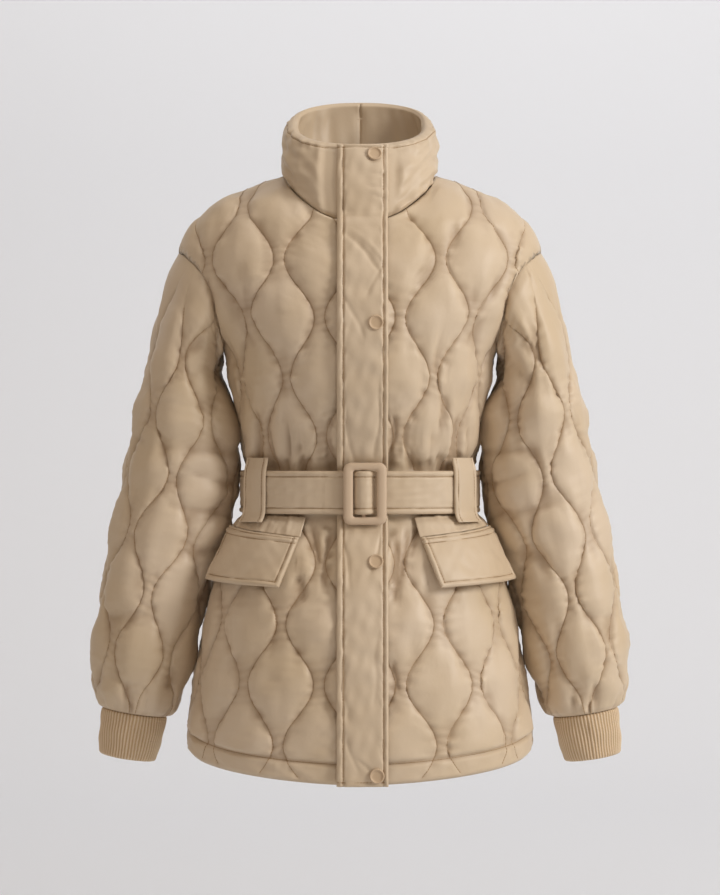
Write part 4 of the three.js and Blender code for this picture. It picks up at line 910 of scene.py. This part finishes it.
placket_z = np.linspace(HEM_FRONT - 0.5, PLACKET_TOP, 330)[:, None]
x = mix(PLACKET_LEFT, PLACKET_RIGHT, placket_x) + 0 * placket_z
z = placket_z + 0 * x
from_left, from_right = x - PLACKET_LEFT, PLACKET_RIGHT - x
from_end = np.minimum(z - HEM_FRONT + 0.5, PLACKET_TOP - z)
thick = PLACKET_THICK + 0.7 * np.sin(math.pi * placket_x) + 0.45 * ripples(x, z, 201, 30)
thick = thick + 0.35 * ripples(x, 0.5 * z, 203, 12) - fold_depth(FOLDS_PLACKET, x, z)
for distance, place, wave in ((from_left, PLACKET_STITCH_LEFT, 205),
                              (from_right, PLACKET_STITCH_RIGHT, 207)):
    thick = thick - 1.5 * np.exp(-((distance - place) / 1.1) ** 2)
    thick = thick + 0.4 * ripples(x, z, wave, 8) * np.exp(-((distance - place) / 4) ** 2)
    thick = thick + 0.5 * np.exp(-((distance - place + 3.2) / 1.6) ** 2)
thick = thick - 1.1 * np.exp(-((from_end - 4.5) / 1.1) ** 2)
rim = np.minimum(np.minimum(from_left, from_right), from_end)
thick = np.clip(thick, 1.7, 5.0) - 1.5 * (1 - ease(rim / 1.6))
# Painted shade for the placket's stitch grooves and folds, passed on as hollow
sunk = np.clip((3.0 - thick) / 3, 0, 1)
placket = make_piece("snap_placket", front_point(x, z, PLACKET_OFF + np.maximum(thick, 0.9)),
                     front_point(x, z, PLACKET_OFF + 0 * x), plain_cloth, hollow=sunk,
                     cloth=np.stack([x, z, 0 * x], -1))
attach(placket, "root")
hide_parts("placket")

# Snaps
# Four round snap caps on the placket, each a metal cap covered in the shell cloth with a shallow
# dish and a rolled rim.

SNAPS = [(15, 18), (16.5, -163), (16.5, -416), (17.5, -637)]
SNAP_PROFILE = smooth_column([(0, 0.9), (3.6, 1.0), (5.2, 1.3), (6.2, 2.2), (7.0, 2.6), (7.6, 2.2),
                              (8.0, 1.3)], 1)


def covered_cloth(name, colour, roughness):
    """The shell cloth drawn tight over a hard core, a shade darker and even in tone."""
    material, tree = new_material(name)
    place = add_node(tree, "ShaderNodeTexCoord").outputs["Object"]
    grain = add_node(tree, "ShaderNodeTexNoise", values={"Scale": 900.0, "Detail": 3.0},
                     links={"Vector": place})
    bump = add_node(tree, "ShaderNodeBump", values={"Strength": 0.12, "Distance": 0.0004},
                    links={"Height": grain.outputs["Fac"]})
    coat = add_node(tree, "ShaderNodeBsdfPrincipled", values={
        "Base Color": linear(colour), "Roughness": roughness, "IOR": 1.45, "Sheen Weight": 0.15},
        links={"Normal": bump.outputs["Normal"]})
    add_node(tree, "ShaderNodeOutputMaterial", links={"Surface": coat.outputs["BSDF"]})
    return material


cap_cloth = covered_cloth("cloth_covered_metal", "#C2A98A", 0.5)


def lathe(name, radii, heights, seat, direction, material):
    """A closed round piece: its profile turned about a direction from a seat point."""
    turns = np.linspace(0, 2 * math.pi, 49)[:-1]
    side = unit(np.cross(direction, [0.0, 0, 1]))
    other = np.cross(side, direction)
    ring = np.cos(turns)[:, None] * side + np.sin(turns)[:, None] * other
    points = seat + radii[:, None, None] * ring[None] + heights[:, None, None] * direction
    mesh = bpy.data.meshes.new(name)
    count = len(radii)
    ids = np.arange(count * 48).reshape(count, 48)
    ids = np.concatenate([ids, ids[:, :1]], 1)
    faces = np.stack([ids[:-1, :-1], ids[:-1, 1:], ids[1:, 1:], ids[1:, :-1]], -1).reshape(-1, 4).tolist()
    faces += [ids[0, :48][::-1].tolist(), ids[-1, :48].tolist()]
    mesh.from_pydata((points.reshape(-1, 3) * MM).tolist(), [], faces)
    work = bmesh.new()
    work.from_mesh(mesh)
    bmesh.ops.recalc_face_normals(work, faces=work.faces)
    work.to_mesh(mesh)
    work.free()
    for polygon in mesh.polygons:
        polygon.use_smooth = True
    mesh.materials.append(material)
    piece = bpy.data.objects.new(name, mesh)
    bpy.context.collection.objects.link(piece)
    return piece


snap_r = np.concatenate([[7.4], np.linspace(8.0, 5.0, 16), np.linspace(4.5, 0.2, 8)])
for number, (sx, sz) in enumerate(SNAPS, 1):
    place = front_point(np.array([float(sx)] * 2), np.array([float(sz)] * 2),
                        np.array([0, PLACKET_THICK + 1.3]))
    heights = np.concatenate([[0.0], SNAP_PROFILE(snap_r[1:])])
    snap = lathe(f"snap_cap_{number}", snap_r, heights, place[1], unit(place[1] - place[0]), cap_cloth)
    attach(snap, "root")
    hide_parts(f"snap_{number}")

# Belt
# A stiffened strap of plain cloth, stitched near both edges, that goes round the waist over the
# placket and the fronts, through both loops, and over the bar of the buckle.

BELT_MIDDLE = -342
BELT_WIDTH = 46
BELT_THICK = 4
BELT_GAP = 1.2
BUCKLE = {"middle": 5.3, "z": -343, "width": 46, "height": 66, "border": 10.5, "bar": 4, "thick": 6,
          "back": 109.8, "hump": 10.2}


def belt_path(turn):
    waist = half_width(BELT_MIDDLE) + BELT_GAP
    angle = turn * 2 * math.pi
    front = np.cos(angle) > 0
    deep = np.where(front, body_depth["front"](BELT_MIDDLE) + PLACKET_THICK + 2.9,
                    body_depth["back"](BELT_MIDDLE) + BELT_GAP)
    px = waist * np.sign(np.sin(angle)) * np.abs(np.sin(angle)) ** (2 / SUPER)
    py = -deep * np.sign(np.cos(angle)) * np.abs(np.cos(angle)) ** (2 / SUPER)
    hump = BUCKLE["hump"] * np.exp(-((px - BUCKLE["middle"] + 1.5) / 7) ** 4)
    return np.stack([px, py - np.where(front, hump, 0), 0 * px], -1)


belt_turn = np.concatenate([np.linspace(-0.0384, 0.0516, 91), np.linspace(0.0516, 0.9616, 361)[1:-1]])
ahead = belt_path(belt_turn + 0.0005) - belt_path(belt_turn - 0.0005)
belt_away = unit(np.stack([ahead[:, 1], -ahead[:, 0], 0 * ahead[:, 0]], -1))
belt_line = belt_path(belt_turn)
belt_run = np.concatenate([[0], np.cumsum(np.linalg.norm(np.diff(belt_line, axis=0), axis=1))])
belt_v = np.concatenate([np.linspace(-1, -0.6, 15), np.linspace(-0.6, 0.6, 16)[1:],
                         np.linspace(0.6, 1, 15)[1:]])[:, None]
across = belt_v * BELT_WIDTH / 2
around = belt_run[None] + 0 * across
from_edge = BELT_WIDTH / 2 - np.abs(across)
raised = BELT_THICK + 0.35 * ripples(around, across, 211, 34) + 0.2 * ripples(around, across, 213, 12)
raised = (raised - 1.1 * np.exp(-((from_edge - 6.2) / 1.0) ** 2)
          + 0.4 * np.exp(-((from_edge - 3) / 1.8) ** 2))
raised = raised + 0.16 * ripples(0.12 * around, across, 215, 6) - 1.3 * (1 - ease(from_edge / 1.6))
belt_outer = belt_line[None] + belt_away[None] * np.minimum(raised, BELT_THICK + 0.9)[..., None]
belt_inner = belt_line[None] + 0 * belt_outer
for face in (belt_outer, belt_inner):
    face[..., 2] = BELT_MIDDLE + across + 0 * around
# hollow paints shade into the belt's stitch grooves and rolled edges
belt = make_piece("waist_belt", belt_outer, belt_inner, plain_cloth, closed=True,
                  hollow=np.clip((3.6 - raised) / 3, 0, 1),
                  cloth=np.stack([around, across + 0 * around, 0 * around], -1))
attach(belt, "root")
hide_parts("belt")

# Buckle
# A rectangular frame covered tight in the shell cloth, with rounded edges and one bar across
# that the belt goes over.


def rounded_ring(width, height, radius, count=12):
    """Points round a rectangle with rounded corners, the same number for every size."""
    points = []
    for corner, (cx, cz) in enumerate(((1, -1), (1, 1), (-1, 1), (-1, -1))):
        for k in range(count + 1):
            turn = (corner - 1) * math.pi / 2 + k / count * math.pi / 2
            points.append((cx * (width / 2 - radius) + radius * math.cos(turn),
                           cz * (height / 2 - radius) + radius * math.sin(turn)))
    return np.array(points)


def frame_section():
    """Width cut from the border and height of each point round the frame's cross-section."""
    section = []
    for k in range(9):
        turn = math.pi * k / 8
        section.append((0.5 - 0.5 * math.cos(turn), 1.2 + 4.4 * math.sin(turn) ** 0.55))
    return section + [(0.97, 0.3), (0.85, 0.0), (0.15, 0.0), (0.03, 0.3)]


window_width = BUCKLE["width"] - 2 * BUCKLE["border"]
window_height = BELT_WIDTH + 3.5
loops_round = []
for share, high in frame_section():
    ring = rounded_ring(mix(BUCKLE["width"], window_width, share),
                        mix(BUCKLE["height"], window_height, share),
                        mix(8.0, 2.5, share))
    loops_round.append(np.stack([ring[:, 0] + BUCKLE["middle"], 0 * ring[:, 0] - BUCKLE["back"] - high,
                                 ring[:, 1] + BUCKLE["z"]], -1))
loops_round = np.array(loops_round)
buckle_mesh = bpy.data.meshes.new("covered_buckle")
count_a, count_b = loops_round.shape[:2]
ids = np.arange(count_a * count_b).reshape(count_a, count_b)
ids = np.concatenate([ids, ids[:1]], 0)
ids = np.concatenate([ids, ids[:, :1]], 1)
faces = np.stack([ids[:-1, :-1], ids[:-1, 1:], ids[1:, 1:], ids[1:, :-1]], -1).reshape(-1, 4)
buckle_mesh.from_pydata((loops_round.reshape(-1, 3) * MM).tolist(), [], faces.tolist())
work = bmesh.new()
work.from_mesh(buckle_mesh)
bar = bmesh.ops.create_cube(work, size=1)["verts"]
bar_x, bar_y = BUCKLE["middle"] - 1.5, -BUCKLE["back"] - 1
for vert in bar:
    vert.co.x = (vert.co.x * BUCKLE["bar"] + bar_x) * MM
    vert.co.y = (vert.co.y * 2 + bar_y) * MM
    vert.co.z = (vert.co.z * (window_height + 4) + BUCKLE["z"]) * MM
bmesh.ops.recalc_face_normals(work, faces=work.faces)
work.to_mesh(buckle_mesh)
work.free()
for polygon in buckle_mesh.polygons:
    polygon.use_smooth = True
buckle_mesh.materials.append(covered_cloth("cloth_covered_buckle", "#C9B297", 0.55))
buckle = bpy.data.objects.new("covered_buckle", buckle_mesh)
bpy.context.collection.objects.link(buckle)
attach(buckle, "root")
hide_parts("buckle")

# Pocket flaps and the patches above them
# Two slanted flaps of doubled plain cloth that hang from a stitched band, open at their lower
# edge. A flat facing of the same cloth fills the space between each flap and the belt.

FLAP = [(84, -444), (196, -439), (65, -391), (170, -380)]
PATCH = [(64, -390), (172, -379.2), (58, -368.5), (166, -367.5)]
FLAP_LONG = 115
FLAP_HIGH = 57


def laid_point(corners, u, v, off):
    (s0, z0), (s1, z1), (s2, z2), (s3, z3) = corners
    s = mix(mix(s0, s1, u), mix(s2, s3, u), v)
    height = mix(mix(z0, z1, u), mix(z2, z3, u), v)
    at = s / quarter_length("front", height)
    return crown("front", at, height) + outward("front", at, height) * off[..., None]


flap_u = np.concatenate([np.linspace(0, 0.1, 14), np.linspace(0.1, 0.9, 40)[1:],
                         np.linspace(0.9, 1, 14)[1:]])[None]
flap_v = np.concatenate([np.linspace(0, 0.2, 14), np.linspace(0.2, 0.8, 18)[1:],
                         np.linspace(0.8, 1, 14)[1:]])[:, None]
for name, seed in (("left", 221), ("right", 231)):
    u, v = flap_u + 0 * flap_v, flap_v + 0 * flap_u
    fx, fz = u * FLAP_LONG, v * FLAP_HIGH
    side_edge = np.minimum(fx, FLAP_LONG - fx)
    edge = np.minimum(side_edge, fz)
    thick = 3.5 + 0.5 * ripples(fx, fz, seed, 40) + 0.25 * ripples(fx, fz, seed + 1, 13)
    thick = thick - 1.1 * np.exp(-((edge - 5.6) / 1.0) ** 2) + 0.4 * np.exp(-((edge - 2.6) / 1.4) ** 2)
    for line in (0.865, 0.955):
        thick = thick - 1.1 * np.exp(-((v - line) * FLAP_HIGH / 0.9) ** 2)
    thick = thick + 0.5 * np.exp(-((v - 0.91) * FLAP_HIGH / 2.2) ** 2)
    rim = np.minimum(edge, FLAP_HIGH - fz)
    thick = np.maximum(thick, 1.8) - 1.4 * (1 - ease(rim / 1.7))
    stand = 1.2 + 7.5 * (1 - v) ** 1.3
    stand = stand + 1.6 * ripples(fx, 0.2 * fz, seed + 2, 60) * (1 - v) ** 1.5
    stand = np.maximum(stand, 1.2)
    outer, inner = laid_point(FLAP, u, v, stand + thick), laid_point(FLAP, u, v, stand)
    flap_cloth = np.stack([fx, fz, 0 * fx], -1)
    pu = np.linspace(0, 1, 60)[None] + 0 * np.linspace(0, 1, 14)[:, None]
    pv = np.linspace(0, 1, 14)[:, None] + 0 * pu
    patch_rise = 2.4 + 0.8 * ripples(pu * 104, 0.3 * pv * 14, seed + 3, 13)
    patch_rise = np.maximum(patch_rise + 0.4 * ripples(pu * 104, pv * 14, seed + 4, 7), 1.7)
    patch_rise = mix(1.1, patch_rise, ease(pu / 0.16) * ease((1 - pu) / 0.04))
    patch_outer = laid_point(PATCH, pu, pv, patch_rise)
    patch_inner = laid_point(PATCH, pu, pv, 0.9 + 0 * pu)
    patch_cloth = np.stack([pu * 104, pv * 14, 0 * pu], -1)
    if name == "right":
        outer, inner = mirrored(outer), mirrored(inner)
        patch_outer, patch_inner = mirrored(patch_outer), mirrored(patch_inner)
    # hollow paints shade into the flap's stitch grooves and rolled edges
    flap = make_piece("pocket_flap_" + name, outer, inner, plain_cloth, flip=name == "right",
                      hollow=np.clip((3.0 - thick) / 3, 0, 1), cloth=flap_cloth)
    patch = make_piece("pocket_facing_" + name, patch_outer, patch_inner, plain_cloth,
                       flip=name == "right", cloth=patch_cloth)
    for piece, node in ((flap, "flap_"), (patch, "patch_")):
        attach(piece, "root")
        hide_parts(node + name)

# Belt loops
# Two wide straps of plain cloth, stitched near both edges, that leave the front just above the
# belt and are sewn down again below it.

LOOP_WIDTH = 33
LOOP_AT = 117
LOOP_THICK = 2.4
LOOP_PATH = [(-374, 15.6), (-369, 12.2), (-362, 9.9), (-352, 9.4), (-332, 9.4), (-319, 8.6),
             (-311, 6.4), (-305, 5.2)]
loop_out = smooth_column(LOOP_PATH, 1)
loop_t = np.linspace(0, 1, 41)[None]
loop_z = np.linspace(LOOP_PATH[0][0], LOOP_PATH[-1][0], 61)[:, None]


def loop_face(rise):
    at = (LOOP_AT + (loop_t - 0.5) * LOOP_WIDTH) / quarter_length("front", BELT_MIDDLE) + 0 * loop_z
    level = BELT_MIDDLE + 0 * at
    place = crown("front", at, level) + outward("front", at, level) * (loop_out(loop_z) + rise)[..., None]
    place[..., 2] = loop_z + 0 * loop_t
    return place


for name, seed in (("left", 241), ("right", 251)):
    fx, fz = loop_t * LOOP_WIDTH + 0 * loop_z, loop_z + 0 * loop_t
    side_edge = np.minimum(fx, LOOP_WIDTH - fx)
    thick = LOOP_THICK + 0.3 * ripples(fx, fz, seed, 20) - 0.9 * np.exp(-((side_edge - 4.5) / 0.9) ** 2)
    thick = thick + 0.3 * np.exp(-((side_edge - 2) / 1.2) ** 2) - 1.0 * (1 - ease(side_edge / 1.4))
    thick = np.maximum(thick, 0.9)
    outer, inner = loop_face(thick), loop_face(0 * thick)
    loop_cloth = np.stack([fx, fz, 0 * fx], -1)
    if name == "right":
        outer, inner = mirrored(outer), mirrored(inner)
    # hollow paints shade into the loop's stitch grooves and edges
    loop = make_piece("belt_loop_" + name, outer, inner, plain_cloth, flip=name == "right",
                      hollow=np.clip((2.1 - thick) / 2, 0, 1), cloth=loop_cloth)
    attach(loop, "root")
    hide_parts("loop_" + name)

# Stitching
# Lockstitch in thread dyed to the cloth: along every quilting line and hem, and beside the edges
# of the placket, belt, flaps, loops and collar. Each stitch shows as a short raised dash.

STITCH_PITCH = 3.2
STITCH_LENGTH = 2.3
THREAD_RADIUS = 0.36


def thread():
    """Spun polyester sewing thread, a little darker and glossier than the cloth it holds."""
    material, tree = new_material("polyester_thread")
    coat = add_node(tree, "ShaderNodeBsdfPrincipled", values={
        "Base Color": linear("#A08059"), "Roughness": 0.45, "Sheen Weight": 0.2})
    add_node(tree, "ShaderNodeOutputMaterial", links={"Surface": coat.outputs["BSDF"]})
    return material


def stitch_group(material):
    """Dashes of thread at an even pitch along every edge path of a mesh."""
    group = bpy.data.node_groups.new("stitches_along_lines", "GeometryNodeTree")
    face = group.interface
    face.new_socket("Geometry", in_out="INPUT", socket_type="NodeSocketGeometry")
    for name in ("Pitch", "Length", "Radius"):
        face.new_socket(name, in_out="INPUT", socket_type="NodeSocketFloat")
    face.new_socket("Geometry", in_out="OUTPUT", socket_type="NodeSocketGeometry")
    source = add_node(group, "NodeGroupInput").outputs
    curve = add_node(group, "GeometryNodeMeshToCurve", links={"Mesh": source["Geometry"]})
    even = add_node(group, "GeometryNodeResampleCurve", links={"Curve": curve.outputs["Curve"]})
    if "Mode" in even.inputs:
        even.inputs["Mode"].default_value = "Length"
    else:
        even.mode = "LENGTH"
    group.links.new(source["Pitch"], even.inputs["Length"])
    dash = add_node(group, "GeometryNodeMeshCylinder", values={"Vertices": 6},
                    links={"Radius": source["Radius"], "Depth": source["Length"]})
    tangent = add_node(group, "GeometryNodeInputTangent")
    turn = add_node(group, "FunctionNodeAlignRotationToVector", {"axis": "Z"},
                    links={"Vector": tangent.outputs["Tangent"]})
    placed = add_node(group, "GeometryNodeInstanceOnPoints", links={
        "Points": even.outputs["Curve"], "Instance": dash.outputs["Mesh"],
        "Rotation": turn.outputs["Rotation"]})
    real = add_node(group, "GeometryNodeRealizeInstances", links={"Geometry": placed.outputs["Instances"]})
    dressed = add_node(group, "GeometryNodeSetMaterial", {}, {"Material": material},
                       {"Geometry": real.outputs["Geometry"]})
    add_node(group, "NodeGroupOutput", links={"Geometry": dressed.outputs["Geometry"]})
    return group


thread_material = thread()
stitching = stitch_group(thread_material)


def sew(name, lines):
    """A piece of stitches along lines of points in millimetres."""
    points, edges = [], []
    for line in lines:
        edges += [(len(points) + k, len(points) + k + 1) for k in range(len(line) - 1)]
        points += (np.asarray(line) * MM).tolist()
    mesh = bpy.data.meshes.new(name + "_lines")
    mesh.from_pydata(points, edges, [])
    guide = bpy.data.objects.new(name + "_lines", mesh)
    bpy.context.collection.objects.link(guide)
    modifier = guide.modifiers.new("stitches", "NODES")
    modifier.node_group = stitching
    values = {"Pitch": STITCH_PITCH * MM, "Length": STITCH_LENGTH * MM, "Radius": THREAD_RADIUS * MM}
    for socket in stitching.interface.items_tree:
        if socket.name in values and socket.in_out == "INPUT":
            modifier[socket.identifier] = values[socket.name]
    guide.update_tag()
    bpy.context.view_layer.update()
    seen = guide.evaluated_get(bpy.context.evaluated_depsgraph_get())
    result = bpy.data.meshes.new_from_object(seen)
    result.name = name
    bpy.data.objects.remove(guide)
    if not result.materials:
        result.materials.append(thread_material)
    piece = bpy.data.objects.new(name, result)
    bpy.context.collection.objects.link(piece)
    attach(piece, "root")
    return piece


def grid_normals(outer):
    across = np.gradient(outer, axis=1)
    up = np.gradient(outer, axis=0)
    return unit(np.cross(across, up))


LIFT = 0.15


def panel_lines(half, mirror, turned):
    """Quilting lines and the hem line of one half panel."""
    outer = half["outer"] + grid_normals(half["outer"]) * LIFT * (-1 if turned else 1)
    found = []
    for j in range(LINES):
        column = int(np.argmax((column_j == j) & (column_t == 0)))
        keep = ~half["cut"][:, column] & (half["rows"][:, column] > 0.4)
        keep = keep & ((half["z"][:, column] < -128) | (half["f"][:, column] < 205))
        found.append(outer[keep][:, column])
    row = int(np.argmin(np.abs(half["z"][:40, 0] - half["z"][0, 0] - HEM_STITCH)))
    found.append(outer[row, 1:-1])
    return [mirrored(line) for line in found] if mirror else found


for name, halves in (("front_left", [(left_half, False, False)]),
                     ("front_right", [(right_half, True, False)]),
                     ("back", [(back_left, False, True), (back_right, True, True)])):
    lines = []
    for half, mirror, turned in halves:
        lines += panel_lines(half, mirror, turned)
    sew("quilting_stitches_" + name, lines)

for name, (outer, inner, hollow, cloth) in sleeve_parts.items():
    around = np.concatenate([outer[:, -1:], outer, outer[:, :1]], 1)
    lifted = outer + unit(np.cross(np.gradient(outer, axis=0), np.gradient(around, axis=1)[:, 1:-1])) * LIFT
    keep = (cloth[:, 0, 1] < -30) & (np.arange(len(cloth)) < len(cloth) - 8)
    lines = [lifted[keep, k * len(GAP_AT)] for k in range(SLEEVE_LINES)]
    if name == "right":
        lines = [mirrored(line) for line in lines]
    sew("quilting_stitches_sleeve_" + name, lines)

down = np.linspace(HEM_FRONT + 4, PLACKET_TOP - 4.5, 300)
placket_lines = []
for sx in (PLACKET_LEFT + PLACKET_STITCH_LEFT, PLACKET_RIGHT - PLACKET_STITCH_RIGHT):
    placket_lines.append(front_point(sx + 0 * down, down, PLACKET_OFF + PLACKET_THICK - 0.55 + 0 * down))
sx = np.linspace(PLACKET_LEFT + 2, PLACKET_RIGHT - 2, 30)
for level in (HEM_FRONT + 4, PLACKET_TOP - 4.5):
    placket_lines.append(front_point(sx, level + 0 * sx, PLACKET_OFF + PLACKET_THICK - 0.3 + 0 * sx))
sew("topstitches_placket", placket_lines)

belt_lines = []
for level in (-BELT_WIDTH / 2 + 6.2, BELT_WIDTH / 2 - 6.2):
    ring = belt_line + belt_away * (BELT_THICK - 0.75)
    ring[:, 2] = BELT_MIDDLE + level
    belt_lines.append(np.concatenate([ring, ring[:1]]))
sew("topstitches_belt", belt_lines)

for name in ("left", "right"):
    inset_u, inset_v = 5.6 / FLAP_LONG, 5.6 / FLAP_HIGH
    run = np.linspace(0, 1, 60)
    paths = [(mix(inset_u, 1 - inset_u, run), inset_v + 0 * run),
             (inset_u + 0 * run, mix(inset_v, 0.86, run)),
             (1 - inset_u + 0 * run, mix(inset_v, 0.86, run)), (mix(0.02, 0.98, run), 0.865 + 0 * run),
             (mix(0.02, 0.98, run), 0.955 + 0 * run)]
    seed = 221 if name == "left" else 231
    lines = []
    for pu, pv in paths:
        stand = 1.2 + 7.5 * (1 - pv) ** 1.3
        wave = ripples(pu * FLAP_LONG, 0.2 * pv * FLAP_HIGH, seed + 2, 60)
        stand = np.maximum(stand + 1.6 * wave * (1 - pv) ** 1.5, 1.2)
        lines.append(laid_point(FLAP, pu, pv, stand + 2.75))
    for share in (4.5 / LOOP_WIDTH, 1 - 4.5 / LOOP_WIDTH):
        at = (LOOP_AT + (share - 0.5) * LOOP_WIDTH) / quarter_length("front", BELT_MIDDLE) + 0 * run
        height = mix(LOOP_PATH[0][0] + 2, LOOP_PATH[-1][0] - 2, run)
        level = BELT_MIDDLE + 0 * run
        off = loop_out(height) + LOOP_THICK - 0.7
        line = crown("front", at, level) + outward("front", at, level) * off[:, None]
        line[:, 2] = height
        lines.append(line)
    if name == "right":
        lines = [mirrored(line) for line in lines]
    sew("topstitches_pocket_" + name, lines)

top_row = int(np.argmin(np.abs(flat_z[:, 0] - 87.5)))
collar_line = collar_outer[top_row, 2:-2] + unit(collar_outer[top_row, 2:-2] * np.array([1.0, 1, 0])) * 0.2
clear = np.abs(collar_line[:, 0]) + 1000 * (collar_line[:, 1] > 0) > 34
sew("topstitches_collar", [collar_line[clear]])
